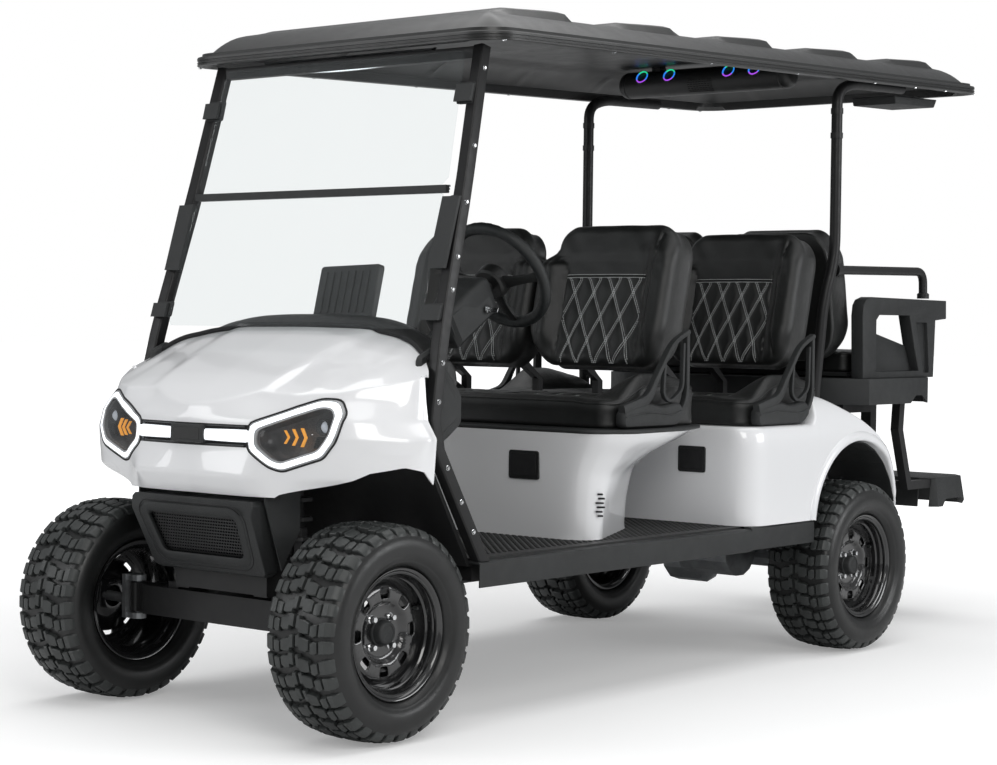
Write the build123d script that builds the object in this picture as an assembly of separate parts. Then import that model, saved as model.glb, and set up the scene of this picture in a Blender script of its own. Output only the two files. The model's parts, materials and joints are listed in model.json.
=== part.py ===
"""Lifted six-seat golf cart: two forward benches and one bench that faces rearward.

Millimetres.  +Z is up and the cart faces -Y.  Its own left side, the driver's, is +X.
While modelling, y is measured rearward from the front axle; save() then moves every
piece so that the origin lies on the ground, midway between the front tyre's tread
and the rear edge of the step.
"""
from build123d import *
import os
from math import cos, degrees, pi, radians, sin, sqrt, tan

# ---------------------------------------------------------------- driving dimensions
WHEELBASE = 2230.0
FRONT_TRACK = 974.0
REAR_TRACK = 1040.0
REAR_OVERHANG = 1061.0          # rear axle to the rear edge of the step

TYRE_RADIUS = 279.0
TYRE_WIDTH = 240.0
TREAD_WIDTH = 206.0
TREAD_DEPTH = 14.0
FLANGE_RADIUS = 167.5
RIM_WIDTH = 193.0
BEAD_RADIUS = 152.0
WELL_RADIUS = 134.0
RIM_GAUGE = 4.0
DISC_OFFSET = 30.0              # wheel centre plane to the back of the disc
DISC_GAUGE = 6.0
WINDOW_COUNT = 8
WINDOW_CIRCLE = 99.0
HUB_RADIUS = 38.0
SPINDLE_RADIUS = 14.0
RUNNING_CLEARANCE = 0.05
SEAT_GAP = 0.3                  # between pieces that rest on each other
LUG_COUNT = 14                  # shoulder lugs round each side of a tyre
RIM_SIDES = 16

BODY_HALF_WIDTH = 600.0
FLOOR_Z = 437.0                 # top of the floor pan
FLOOR_GAUGE = 12.0
MAT_GAUGE = 8.0
RAIL_SPACING = 600.0
RAIL_WIDTH = 50.0
RAIL_HEIGHT = 85.0
RAIL_WALL = 4.0
ROCKER_BOTTOM_Z = 372.0
ROCKER_GAUGE = 4.0

BEAM_HALF_DEPTH = 35.0
BEAM_Z = 288.0
BEAM_HEIGHT = 80.0
KINGPIN_INSET = 87.0            # wheel centre plane to the kingpin
KINGPIN_RADIUS = 10.0
KINGPIN_EYE_RADIUS = 22.0
STEERING_ARM = 100.0
ARM_TOP_Z = 298.0
ARM_GAUGE = 14.0
MOVING_GAP = 5.0                # between pieces that move past each other
MOTOR_X = 40.0                  # inboard end of the drive motor
MOTOR_RADIUS = 92.0
MOTOR_LENGTH = 200.0
SHOCK_X = 225.0
SHOCK_Y = 6.0
WIRE_RADIUS = 5.0
SHOCK_SEAT = 18.0
COIL_RADIUS = 34.0
SHOCK_TOP_Z = 640.0

PANEL_GAUGE = 5.0               # moulded body panels
LAMP_BAND = 24.0
LAMP_PROUD = 3.0
PANEL_GAP = 2.0

STRUT_SIZE = 36.0
GLASS_GAUGE = 5.0
SEAM_Z = 1416.0
GLASS_HALF_WIDTH = 478.0

ROOF_LENGTH = 2730.0
ROOF_HALF_WIDTH = 600.0
ROOF_FRONT_Y = 326.0
ROOF_FRONT_Z = 1806.0           # underside of the drip rail at the front edge
ROOF_RISE = 86.0
ROOF_CORNER = 110.0
ROOF_RAIL = 26.0
ROOF_CROWN = 62.0
ROOF_HUMP = 20.0
ROOF_WALL = 6.0

WHEEL_RIM_RADIUS = 176.0        # steering wheel
STEERING_X = 275.0
STEERING_Y = 748.0
STEERING_Z = 1199.0
COLUMN_TILT = 33.0

ROW_PITCH = 700.0
BENCH_FRONT_Y = 948.0
BENCH_HALF_WIDTH = 528.0
BENCH_DEPTH = 455.0
SEAT_SEATING = 0.5              # cushion underside above its rim
CUSHION_HEIGHT = 92.0
BOLSTER_HEIGHT = 72.0
BOLSTER_WIDTH = 120.0
BACK_WIDTH = 505.0
BACK_HEIGHT = 440.0
BACK_THICKNESS = 92.0
BACK_Z = 942.0
BACK_LEAN = 14.0
BACK_GAP = 12.0

POD_Z = 447.0                   # underside of the seat pods
POD_RIM_Z = 756.0
TRAY_TOP_Z = 889.0
TRAY_HEIGHT = 88.0
TRAY_HALF_WIDTH = 540.0
TRAY_GAUGE = 5.0
REAR_SEAT_HALF_WIDTH = 430.0
REAR_SEAT_DEPTH = 430.0
REAR_SEAT_HEIGHT = 90.0
ARM_X = 500.0
ARM_THICKNESS = 46.0
HOOP_X = 500.0
HOOP_RADIUS = 15.0
REAR_TUBE_RADIUS = 18.0

STEP_TOP_Z = 520.0
STEP_HEIGHT = 105.0
STEP_HALF_WIDTH = 450.0
STEP_DEPTH = 295.0
LEG_X = 405.0
HITCH_PIN_RADIUS = 8.0

# ------------------------------------------------------------------ dependent places
FRONT_WHEEL_X = FRONT_TRACK / 2
REAR_WHEEL_X = REAR_TRACK / 2
AXLE_Z = TYRE_RADIUS
TAIL_Y = WHEELBASE + REAR_OVERHANG
ORIGIN_Y = (TAIL_Y - TYRE_RADIUS) / 2
KINGPIN_X = FRONT_WHEEL_X - KINGPIN_INSET
MAT_Z = FLOOR_Z + MAT_GAUGE
FLOOR_BOTTOM_Z = FLOOR_Z - FLOOR_GAUGE
RAIL_X = RAIL_SPACING / 2
RAIL_Z = FLOOR_BOTTOM_Z - RAIL_HEIGHT / 2

os.makedirs("parts", exist_ok=True)


# -------------------------------------------------------------------------- helpers
def save(name, shape):
    """Write one piece, moved from the front-axle station to the cart's own origin."""
    export_step(Pos(0, -ORIGIN_Y, 0) * shape, f"parts/{name}.step")


def facet(corners):
    """A flat face through corners, leaving out any that repeat."""
    loop = []
    for corner in corners:
        point = Vector(*corner)
        if all((point - other).length > 1e-6 for other in loop):
            loop.append(point)
    return Face(Wire.make_polygon(loop, close=True)) if len(loop) > 2 else None


def solid_of(faces):
    """Join flat faces that close on each other into one solid."""
    return Solid(Shell([face for face in faces if face is not None]))


def skin(rings):
    """A closed form through rings of as many points each, with flat ends."""
    faces = [facet(rings[0]), facet(rings[-1])]
    count = len(rings[0])
    for low, high in zip(rings, rings[1:]):
        for index in range(count):
            following = (index + 1) % count
            corners = [low[index], low[following], high[following], high[index]]
            points = [Vector(*corner) for corner in corners]
            normal = (points[1] - points[0]).cross(points[2] - points[0])
            span = (points[3] - points[0]).length
            if normal.length < 1e-9 or abs((points[3] - points[0]).dot(normal.normalized())) < 1e-7 * span:
                faces.append(facet(corners))
            else:
                faces.append(facet([corners[0], corners[1], corners[2]]))
                faces.append(facet([corners[0], corners[2], corners[3]]))
    return solid_of(faces)


def flat_ring(outline, sides):
    """Turn a closed profile of (x, radius) about the X axis in flat-sided steps."""
    def corner(x, radius, index):
        angle = 2 * pi * index / sides
        return x, radius * cos(angle), radius * sin(angle)
    faces = []
    for start, end in zip(outline, outline[1:] + outline[:1]):
        if start[1] + end[1] < 1e-9:
            continue
        for index in range(sides):
            faces.append(facet([corner(*start, index), corner(*start, index + 1),
                                corner(*end, index + 1), corner(*end, index)]))
    return solid_of(faces)


def mitred(points, ring):
    """A bar of constant section along straight runs, mitred where they meet."""
    stops = [Vector(*point) for point in points]
    runs = [(end - start).normalized() for start, end in zip(stops, stops[1:])]
    rings = [[tuple(stops[0] + offset_by) for offset_by in ring]]
    for index, run in enumerate(runs):
        normal = run if index == len(runs) - 1 else (run + runs[index + 1]).normalized()
        stop = stops[index + 1]
        last = [Vector(*corner) for corner in rings[-1]]
        rings.append([tuple(corner + run * ((stop - corner).dot(normal) / run.dot(normal)))
                      for corner in last])
    return skin(rings)


def eased(points, cut):
    """Cut each inner corner of a path short by a length along both its runs."""
    stops = [Vector(*point) for point in points]
    path = [stops[0]]
    for before, corner, beyond in zip(stops, stops[1:], stops[2:]):
        path.append(corner + (before - corner).normalized() * cut)
        path.append(corner + (beyond - corner).normalized() * cut)
    return [tuple(point) for point in path + [stops[-1]]]


def flat_bar(points, radius, sides):
    """A many-sided bar along straight runs."""
    run = (Vector(*points[1]) - Vector(*points[0])).normalized()
    across = Vector(1, 0, 0) if abs(run.X) < 0.7 else Vector(0, 0, 1)
    across = (across - run * across.dot(run)).normalized()
    upward = run.cross(across)
    ring = []
    for index in range(sides):
        angle = 2 * pi * (index + 0.5) / sides
        ring.append((across * cos(angle) + upward * sin(angle)) * radius)
    return mitred(points, ring)


def post_z(x, y, z_range, radius, sides):
    """An upright many-sided post between two heights."""
    return flat_bar([(x, y, z_range[0]), (x, y, z_range[1])], radius, sides)


def drum_x(x_range, y, z, radius, sides):
    """A many-sided drum that lies across the cart."""
    outline = [(x_range[0], 0), (x_range[0], radius), (x_range[1], radius), (x_range[1], 0)]
    return Pos(0, y, z) * flat_ring(outline, sides)


def block(x_range, y_range, z_range):
    """A rectangular block between pairs of limits."""
    low = Vector(x_range[0], y_range[0], z_range[0])
    high = Vector(x_range[1], y_range[1], z_range[1])
    size = high - low
    return Location((low + high) / 2) * Box(size.X, size.Y, size.Z)


def side_plate(outline, x_range):
    """A plate cut to a side view, outline as (y, z), between two x limits."""
    plane = Plane.YZ.offset(x_range[0])
    depth = x_range[1] - x_range[0]
    return extrude(plane * Polygon(*outline, align=None), amount=depth, dir=(1, 0, 0))


def front_plate(outline, y_range):
    """A plate cut to a front view, outline as (x, z), between two y limits."""
    plane = Plane.XZ.offset(-y_range[0])
    depth = y_range[1] - y_range[0]
    return extrude(plane * Polygon(*outline, align=None), amount=depth, dir=(0, 1, 0))


def plan_plate(outline, z_range):
    """A plate cut to a plan view, outline as (x, y), between two heights."""
    plane = Plane.XY.offset(z_range[0])
    depth = z_range[1] - z_range[0]
    return extrude(plane * Polygon(*outline, align=None), amount=depth, dir=(0, 0, 1))


def mirrored_outline(half):
    """Close a half outline given from the centre line outward on the +X side."""
    return list(half) + [(-x, y) for x, y in reversed(half) if abs(x) > 1e-9]


def both_sides(shape):
    """A piece on the +X side with its mirror twin."""
    return Compound(children=[shape, mirror(shape, about=Plane.YZ)])


def bar_between(start, end, radius):
    """A straight many-sided bar between two points."""
    return flat_bar([start, end], radius, 8)


# --------------------------------------------------------------------------- wheels
def rim(side):
    """Steel wheel with a well, a pressed disc with windows and its hub, turned about X."""
    half = RIM_WIDTH / 2
    lip = 8.0
    seat = 32.0
    slope = 11.0
    back = DISC_OFFSET
    front = back + DISC_GAUGE
    inner = WELL_RADIUS - RIM_GAUGE - 1
    rise = 12.0
    outline = [(-half, FLANGE_RADIUS), (-half + lip, BEAD_RADIUS), (-half + lip + seat, BEAD_RADIUS),
               (-half + lip + seat + slope, WELL_RADIUS), (half - lip - seat - slope, WELL_RADIUS),
               (half - lip - seat, BEAD_RADIUS), (half - lip, BEAD_RADIUS), (half, FLANGE_RADIUS),
               (half - lip + 2, BEAD_RADIUS - RIM_GAUGE - 1), (front + rise, inner),
               (front, 74), (front, HUB_RADIUS - 6), (front + 26, HUB_RADIUS - 10), (front + 30, 0),
               (back - 52, 0), (back - 52, HUB_RADIUS - 4), (back, HUB_RADIUS), (back, 72),
               (back + rise - 1, inner - 4), (back - rise, inner),
               (-half + lip + seat, inner), (-half + lip - 2, BEAD_RADIUS - RIM_GAUGE - 1)]
    wheel = flat_ring(outline, RIM_SIDES)
    window = extrude(Plane.YZ * Polygon((-17, -8), (-12, -14), (12, -14), (17, -8), (17, 8),
                                        (12, 14), (-12, 14), (-17, 8), align=None),
                     amount=RIM_WIDTH, dir=(1, 0, 0))
    for index in range(WINDOW_COUNT):
        turn = Rot(360.0 * index / WINDOW_COUNT + 180.0 / RIM_SIDES, 0, 0)
        wheel -= turn * Pos(0, WINDOW_CIRCLE, 0) * window
    bore = SPINDLE_RADIUS + RUNNING_CLEARANCE
    depth = front + 22 - (back - 53)
    wheel -= Pos(back - 53 + depth / 2, 0, 0) * Rot(0, 90, 0) * Cylinder(bore, depth)
    return wheel if side > 0 else mirror(wheel, about=Plane.YZ)


def tyre():
    """All-terrain tyre whose shoulder lugs alternate from side to side round its edge."""
    sides = 2 * LUG_COUNT
    grow = 1 / cos(pi / sides)
    half = TYRE_WIDTH / 2
    tread = TREAD_WIDTH / 2
    base = TYRE_RADIUS - TREAD_DEPTH
    bead = (BEAD_RADIUS + SEAT_GAP) * grow
    foot = RIM_WIDTH / 2 - 8 - SEAT_GAP
    over = (FLANGE_RADIUS + 0.8) * grow
    toe = foot - 22
    rib = 7.0
    # outline of one half as (x, radius), from the inner toe out to the widest point
    flank = [(toe, bead), (foot, bead), (foot, over), (half - 3, FLANGE_RADIUS + 24), (half, 222)]
    low_edge = [(tread, base - 4), (rib, base)]
    lug_edge = [(half - 2, 252), (tread - 9, TYRE_RADIUS), (rib, TYRE_RADIUS)]
    lining = [(-toe, bead), (-half + 20, 236), (half - 20, 236), (toe, bead)]

    def corner(point, index):
        angle = 2 * pi * index / sides
        return point[0], point[1] * cos(angle), point[1] * sin(angle)

    def flipped(points):
        return [(-x, radius) for x, radius in points]
    faces = []
    for index in range(sides):
        crown = (lug_edge, low_edge) if index % 2 else (low_edge, lug_edge)
        section = flank + crown[0]
        other = flipped(flank + crown[1])
        joint = [(rib, base), (-rib, base)]
        line = section + joint + other[::-1]
        bands = [line[0]]
        for point in line[1:]:
            if point != bands[-1]:
                bands.append(point)
        bands += lining[1:-1]
        for start, end in zip(bands, bands[1:] + bands[:1]):
            faces.append(facet([corner(start, index), corner(start, index + 1),
                                corner(end, index + 1), corner(end, index)]))
        wall = [flank[-1]] + lug_edge + low_edge[::-1]
        for face in (wall, flipped(wall)):
            faces.append(facet([corner(point, index) for point in face]))
    return solid_of(faces)


WHEELS = (
    # name, x of the centre plane, y, side
    ("front_left", FRONT_WHEEL_X, 0.0, 1),
    ("front_right", -FRONT_WHEEL_X, 0.0, -1),
    ("rear_left", REAR_WHEEL_X, WHEELBASE, 1),
    ("rear_right", -REAR_WHEEL_X, WHEELBASE, -1),
)


def wheels():
    """The four wheels with their tyres."""
    carcass = tyre()
    for name, x, y, side in WHEELS:
        place = Pos(x, y, AXLE_Z)
        save(f"rim_{name}", place * rim(side))
        save(f"tyre_{name}", place * carcass)


# ------------------------------------------------------------------- running gear
def front_axle():
    """Box beam with an eye for each kingpin, spring seats and a pair of radius arms."""
    low = BEAM_Z - BEAM_HEIGHT / 2
    high = BEAM_Z + BEAM_HEIGHT / 2
    waist = KINGPIN_EYE_RADIUS * 0.8
    beam = plan_plate(mirrored_outline(
        [(0, -BEAM_HALF_DEPTH), (KINGPIN_X - 60, -BEAM_HALF_DEPTH), (KINGPIN_X - 25, -waist),
         (KINGPIN_X, -waist), (KINGPIN_X, waist), (KINGPIN_X - 25, waist),
         (KINGPIN_X - 60, BEAM_HALF_DEPTH), (0, BEAM_HALF_DEPTH)]), (low, high))
    for side in (-1, 1):
        beam += post_z(side * KINGPIN_X, 0, (low, high), KINGPIN_EYE_RADIUS, 12)
        bore = KINGPIN_RADIUS + RUNNING_CLEARANCE
        beam -= Pos(side * KINGPIN_X, 0, BEAM_Z) * Cylinder(bore, BEAM_HEIGHT + 2)
        seat_x = side * SHOCK_X
        beam += block((seat_x - 20, seat_x + 20), (-28, 28), (high, high + SHOCK_SEAT))
        beam += side_plate([(30, 252), (250, 262), (HANGER_Y - SEAT_GAP, 306),
                            (HANGER_Y - SEAT_GAP, 334), (240, 290), (30, 280)],
                           (side * SUB_RAIL_X - 12, side * SUB_RAIL_X + 12))
    save("front_axle", beam)


def knuckle(side):
    """Steering knuckle: two ears on the kingpin, the spindle and the steering arm."""
    x = side * KINGPIN_X
    high = BEAM_Z + BEAM_HEIGHT / 2 + MOVING_GAP
    low = BEAM_Z - BEAM_HEIGHT / 2 - MOVING_GAP
    ear = 16.0
    web_in = KINGPIN_EYE_RADIUS + MOVING_GAP + 1
    web_out = web_in + 14
    body = Pos(x, 0, BEAM_Z) * Cylinder(KINGPIN_RADIUS, high - low + ear)
    for z in (high, low - ear):
        body += post_z(x, 0, (z, z + ear), KINGPIN_EYE_RADIUS, 10)
        body += block(sorted((x, x + side * web_out)), (-18, 18), (z, z + ear))
    body += block(sorted((x + side * web_in, x + side * web_out)), (-24, 24),
                  (low - ear, high + ear))
    end = side * (FRONT_WHEEL_X + DISC_OFFSET + DISC_GAUGE + 16)
    start = x + side * (web_in + 7)
    spindle = Pos((start + end) / 2, 0, AXLE_Z) * Rot(0, 90, 0) * Cylinder(
        SPINDLE_RADIUS, abs(end - start))
    arm = plan_plate([(x + side * web_in, -20), (x + side * web_out, -20),
                      (x + side * web_out, 34), (x + side * 15, STEERING_ARM),
                      (x + side * 9, STEERING_ARM + 13), (x - side * 9, STEERING_ARM + 13),
                      (x - side * 15, STEERING_ARM), (x + side * web_in, 24)],
                     (ARM_TOP_Z - ARM_GAUGE, ARM_TOP_Z))
    return body + spindle + arm
SUB_RAIL_X = 150.0
HANGER_Y = 318.0
AXLE_RADIUS = 31.0
LEAF_GAUGE = 9.0
SPRING_REACH = 300.0
SPRING_EYE_RADIUS = 16.0
SPRING_EYE_Z = FLOOR_BOTTOM_Z - 60
REAR_SHOCK_TOP_Z = 560.0


def tie_rod():
    """Bar that joins the two steering arms, with a joint block above each."""
    height = 18.0
    low = ARM_TOP_Z + MOVING_GAP
    z = low + height / 2
    rod = flat_bar([(-KINGPIN_X, STEERING_ARM, z), (KINGPIN_X, STEERING_ARM, z)], 8, 8)
    for side in (-1, 1):
        rod += post_z(side * KINGPIN_X, STEERING_ARM, (low, low + height), 13, 8)
    save("tie_rod", rod)


def coil_over(x, y, low, high, turns):
    """Upright spring and damper, the coil as a stack of rings round a stepped core."""
    length = high - low
    unit = post_z(x, y, (low, high), 9, 4)
    unit += post_z(x, y, (low, low + length * 0.6), 20, 6)
    for index in range(turns):
        z = low + length * (0.14 + 0.7 * index / (turns - 1))
        unit += post_z(x, y, (z, z + 2 * WIRE_RADIUS), COIL_RADIUS, 6)
    return unit


def suspension():
    """Front coil-over units and rear leaf packs with dampers, one pair each."""
    foot_z = BEAM_Z + BEAM_HEIGHT / 2 + SHOCK_SEAT
    front = coil_over(SHOCK_X, SHOCK_Y, foot_z + SEAT_GAP, SHOCK_TOP_Z, 5)
    rear = coil_over(SHOCK_X, WHEELBASE + 66, AXLE_Z + 36, REAR_SHOCK_TOP_Z, 3)
    save("shock_absorbers", both_sides(front + rear))
    seat_z = AXLE_Z + AXLE_RADIUS + 2 * LEAF_GAUGE + 1
    leaves = None
    for index, share in enumerate((1.0, 0.74, 0.5)):
        span = SPRING_REACH * share
        sag = (SPRING_EYE_Z - seat_z) * share * share
        base = seat_z - LEAF_GAUGE * index
        leaf = side_plate([(WHEELBASE - span, base + sag), (WHEELBASE, base),
                           (WHEELBASE + span, base + sag), (WHEELBASE + span, base + sag + LEAF_GAUGE),
                           (WHEELBASE, base + LEAF_GAUGE), (WHEELBASE - span, base + sag + LEAF_GAUGE)],
                          (RAIL_X + 28, RAIL_X + 78))
        leaves = leaf if leaves is None else leaves + leaf
    for end in (-SPRING_REACH, SPRING_REACH):
        leaves += drum_x((RAIL_X + 28, RAIL_X + 78), WHEELBASE + end, SPRING_EYE_Z + 5,
                         SPRING_EYE_RADIUS, 8)
    save("rear_springs", both_sides(leaves))


def rear_axle():
    """Axle tube with the differential housing, spring pads and a stub for each wheel."""
    tube_end = REAR_WHEEL_X + DISC_OFFSET - 60
    stub_end = REAR_WHEEL_X + DISC_OFFSET + DISC_GAUGE + 16
    axle = drum_x((-tube_end, tube_end), WHEELBASE, AXLE_Z, AXLE_RADIUS, 12)
    for side in (-1, 1):
        centre = side * (stub_end + tube_end - 5) / 2
        axle += Pos(centre, WHEELBASE, AXLE_Z) * Rot(0, 90, 0) * Cylinder(
            SPINDLE_RADIUS, stub_end - tube_end + 5)
        pad = sorted((side * (RAIL_X + 28), side * (RAIL_X + 78)))
        axle += block(pad, (WHEELBASE - 34, WHEELBASE + 34), (AXLE_Z, AXLE_Z + AXLE_RADIUS + 1 - SEAT_GAP))
    bowl = flat_ring([(-95, 0), (-95, 60), (-60, 105), (60, 105), (95, 60), (95, 0)], 12)
    motor_y = WHEELBASE - 160
    axle += Pos(-60, WHEELBASE, AXLE_Z) * bowl
    axle += block((10, MOTOR_X), (motor_y - 50, WHEELBASE), (AXLE_Z - 20, AXLE_Z + 80))
    for side in (-1, 1):
        axle += block((side * SHOCK_X - 16, side * SHOCK_X + 16), (WHEELBASE, WHEELBASE + 84),
                      (AXLE_Z + 20, AXLE_Z + 36 - SEAT_GAP))
    save("rear_axle", axle)
    save("drive_motor", drum_x((MOTOR_X + SEAT_GAP, MOTOR_X + MOTOR_LENGTH), motor_y, AXLE_Z + 40,
                               MOTOR_RADIUS, 14))


def frame_z():
    """Lower and upper limits of the main rails."""
    return FLOOR_BOTTOM_Z - RAIL_HEIGHT, FLOOR_BOTTOM_Z


BAR_FRONT_Y = 330.0
BAR_REAR_Y = WHEELBASE - 336.0
RAIL_FRONT_Y = -62.0
RAIL_REAR_Y = WHEELBASE + 680.0


def chassis():
    """Two tubular rails drawn in ahead of the floor, cross members, outriggers and spring brackets."""
    low, high = frame_z()
    half = RAIL_WIDTH / 2
    frame = None
    # centre x, first y, last y
    for x, start, end in ((RAIL_X, BAR_FRONT_Y - 22, RAIL_REAR_Y), (SUB_RAIL_X, RAIL_FRONT_Y, BAR_FRONT_Y)):
        rail = block((x - half, x + half), (start, end), (low, high))
        rail -= block((x - half + RAIL_WALL, x + half - RAIL_WALL), (start - 1, end + 1),
                      (low + RAIL_WALL, high - RAIL_WALL))
        pair = rail + mirror(rail, about=Plane.YZ)
        frame = pair if frame is None else frame + pair
    inner = RAIL_X - half
    sub_inner = SUB_RAIL_X - half
    for y, reach, end in ((BAR_FRONT_Y, 22, inner), (900.0, 22, inner), (1500.0, 22, inner),
                          (BAR_REAR_Y, 22, inner), (WHEELBASE + 420.0, 22, inner)):
        frame += block((-end, end), (y - reach, y + reach), (low + 10, high - 10))
    nose_x = SUB_RAIL_X + half
    frame += block((-nose_x, nose_x), (RAIL_FRONT_Y - 2, RAIL_FRONT_Y + 6), (low + 4, high - 4))
    outer = RAIL_X + half
    brackets = None
    for side in (-1, 1):
        for y in (BAR_FRONT_Y, 900.0, 1500.0, BAR_REAR_Y):
            frame += block(sorted((side * outer, side * (BODY_HALF_WIDTH - 44))),
                           (y - 18, y + 18), (high - 40, high))
        tower = side_plate([(-50, high), (100, high), (50, SHOCK_TOP_Z + 40), (-16, SHOCK_TOP_Z + 40)],
                           sorted((side * (nose_x - 10), side * nose_x)))
        tower += block(sorted((side * (SHOCK_X + 24), side * (nose_x - 5))),
                       (SHOCK_Y - 24, SHOCK_Y + 24), (SHOCK_TOP_Z + SEAT_GAP, SHOCK_TOP_Z + 12))
        tower += block((side * SUB_RAIL_X - 20, side * SUB_RAIL_X + 20), (-99, RAIL_FRONT_Y - 2),
                       (high - 16, high - 10))
        tower += block((side * SUB_RAIL_X - 14, side * SUB_RAIL_X + 14), (HANGER_Y, BAR_FRONT_Y + 16),
                       (306, low))
        for end in (-SPRING_REACH, SPRING_REACH):
            tower += block(sorted((side * outer, side * (RAIL_X + 78))),
                           (WHEELBASE + end - 14, WHEELBASE + end + 14),
                           (SPRING_EYE_Z + 5 + SPRING_EYE_RADIUS + SEAT_GAP, high))
        upright = sorted((side * inner, side * (inner + 12)))
        tower += side_plate([(WHEELBASE + 50, high), (WHEELBASE + 82, high),
                             (WHEELBASE + 82, REAR_SHOCK_TOP_Z + 10),
                             (WHEELBASE + 50, REAR_SHOCK_TOP_Z + 10)], upright)
        tower += block(sorted((side * (SHOCK_X - 20), side * inner)), (WHEELBASE + 50, WHEELBASE + 82),
                       (REAR_SHOCK_TOP_Z + SEAT_GAP, REAR_SHOCK_TOP_Z + 10))
        brackets = tower if brackets is None else brackets + tower
    save("spring_brackets", brackets)
    save("chassis_frame", frame)


# ----------------------------------------------------------------- floor and rockers
FLOOR_FRONT_Y = 300.0
TOE_TOP_Y = 150.0
TOE_TOP_Z = 690.0
FLOOR_REAR_Y = WHEELBASE - 290.0
ROCKER_REAR_Y = WHEELBASE - 285.0
ROCKER_STEP_Y = 1585.0


def floor():
    """Floor pan with its toe board, the ribbed mat and the rocker covers."""
    half = BODY_HALF_WIDTH - 42
    gauge = FLOOR_GAUGE
    pan = side_plate([(FLOOR_FRONT_Y, FLOOR_Z), (FLOOR_REAR_Y, FLOOR_Z),
                      (FLOOR_REAR_Y, FLOOR_BOTTOM_Z), (FLOOR_FRONT_Y - 8, FLOOR_BOTTOM_Z),
                      (TOE_TOP_Y - gauge, TOE_TOP_Z), (TOE_TOP_Y, TOE_TOP_Z)], (-half, half))
    save("floor_pan", pan)
    mat = block((-half + 4, half - 4), (FLOOR_FRONT_Y + 10, FLOOR_REAR_Y - 6), (FLOOR_Z, MAT_Z))
    save("floor_mat", mat)
    outer = BODY_HALF_WIDTH
    inner = half + 1
    lip = ROCKER_GAUGE
    top = POD_Z - 1
    front = front_plate([(inner, FLOOR_Z + 3), (outer - 6, FLOOR_Z + 3), (outer, FLOOR_Z - 3),
                         (outer, ROCKER_BOTTOM_Z), (outer - lip, ROCKER_BOTTOM_Z),
                         (outer - lip, FLOOR_Z - 4), (inner, FLOOR_Z - 4)],
                        (FLOOR_FRONT_Y - 6, ROCKER_STEP_Y))
    rear = front_plate([(outer - 30, top), (outer - 6, top), (outer, top - 6),
                        (outer, ROCKER_BOTTOM_Z + 4), (outer - lip, ROCKER_BOTTOM_Z + 4),
                        (outer - lip, top - 8), (outer - 30, top - 8)],
                       (ROCKER_STEP_Y, ROCKER_REAR_Y))
    save("rocker_panels", both_sides(front + rear))


# ---------------------------------------------------------------------- front body
NOSE_LEVELS = (
    # z, centre y, inner x, inner y, corner x, corner y, cheek x, cheek y, side x, side y, rear x
    (612, -158, 200, -156, 274, -136, 430, -52, 556, 40, 584),
    (664, -188, 206, -184, 274, -140, 450, -88, 578, 30, 592),
    (728, -182, 210, -168, 300, -146, 458, -92, 588, 40, 597),
    (768, -182, 212, -164, 320, -138, 470, -86, 597, 60, 600),
    (812, -178, 207, -162, 332, -126, 472, -70, 560, 60, 570),
    (866, -172, 207, -120, 332, -108, 436, -52, 548, 70, 562),
    (1120, -60, 200, -20, 320, 0, 420, 40, 520, 120, 540),
)
HOOD_LINE = ((-232, 796), (-177, 841), (-60, 921), (60, 984), (180, 1026), (262, 1046), (322, 1054))
HOOD_CROWN = ((0, 0), (207, 9), (350, 31), (470, 58), (580, 92), (1024, 282))   # x, fall
HOOD_LIFT = 34.0
HOOD_BACK_Y = 262.0


def level_ring(row, inset, z):
    """Corners of one horizontal slice of the nose, drawn in by inset."""
    _, centre_y, inner_x, inner_y, corner_x, corner_y, cheek_x, cheek_y, side_x, side_y, rear_x = row
    half = [(0, centre_y + inset), (inner_x - inset * 0.4, inner_y + inset),
            (corner_x - inset * 0.7, corner_y + inset * 0.9),
            (cheek_x - inset, cheek_y + inset * 0.7), (side_x - inset, side_y + inset * 0.3),
            (rear_x - inset, COWL_REAR_Y), (rear_x - inset, HOOD_BACK_Y + 40)]
    return [(x, y, z) for x, y in mirrored_outline(half)]
COWL_REAR_Y = 118.0
def nose_solid(inset):
    """The closed form of hood, nose and fenders, with every face drawn in by inset."""
    drop = 20 if inset > 0 else 0
    rings = [level_ring(NOSE_LEVELS[0], inset, NOSE_LEVELS[0][0] - drop)]
    rings += [level_ring(row, inset, row[0]) for row in NOSE_LEVELS[1:]]
    low_z = 500.0
    top = [(y, z - inset) for y, z in HOOD_LINE]
    side = side_plate(top + [(HOOD_LINE[-1][0], low_z), (HOOD_LINE[0][0], low_z)],
                      (-BODY_HALF_WIDTH - 100, BODY_HALF_WIDTH + 100))
    first = HOOD_LINE[1]
    last = HOOD_LINE[-2]
    slope = (last[1] - first[1]) / (last[0] - first[0])
    crown = [(x, HOOD_LIFT - fall - inset) for x, fall in HOOD_CROWN]
    start = Plane((0, first[0] - 80, first[1] - 80 * slope), x_dir=(1, 0, 0), z_dir=(0, -1, 0))
    outline = mirrored_outline(crown + [(HOOD_CROWN[-1][0], -900)])
    prism = extrude(start * Polygon(*outline, align=None), amount=600 * sqrt(1 + slope ** 2),
                    dir=Vector(0, 1, slope).normalized())
    return skin(rings) & side & prism


LAMP_OUTLINE = ((206, 800), (402, 868), (450, 866), (482, 828), (474, 762), (436, 716),
                (300, 680), (270, 688), (206, 734))


def lamp_face(grow):
    """Front view of the left lamp, grown or shrunk by an offset."""
    outline = Polygon(*LAMP_OUTLINE, align=None)
    return offset(outline, amount=grow, kind=Kind.INTERSECTION) if grow else outline


def lamp_bar_face(grow):
    """Front view of the light bar that joins the two lamps."""
    return Pos(0, 767) * Rectangle(2 * 240, 36 + 2 * grow)


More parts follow.
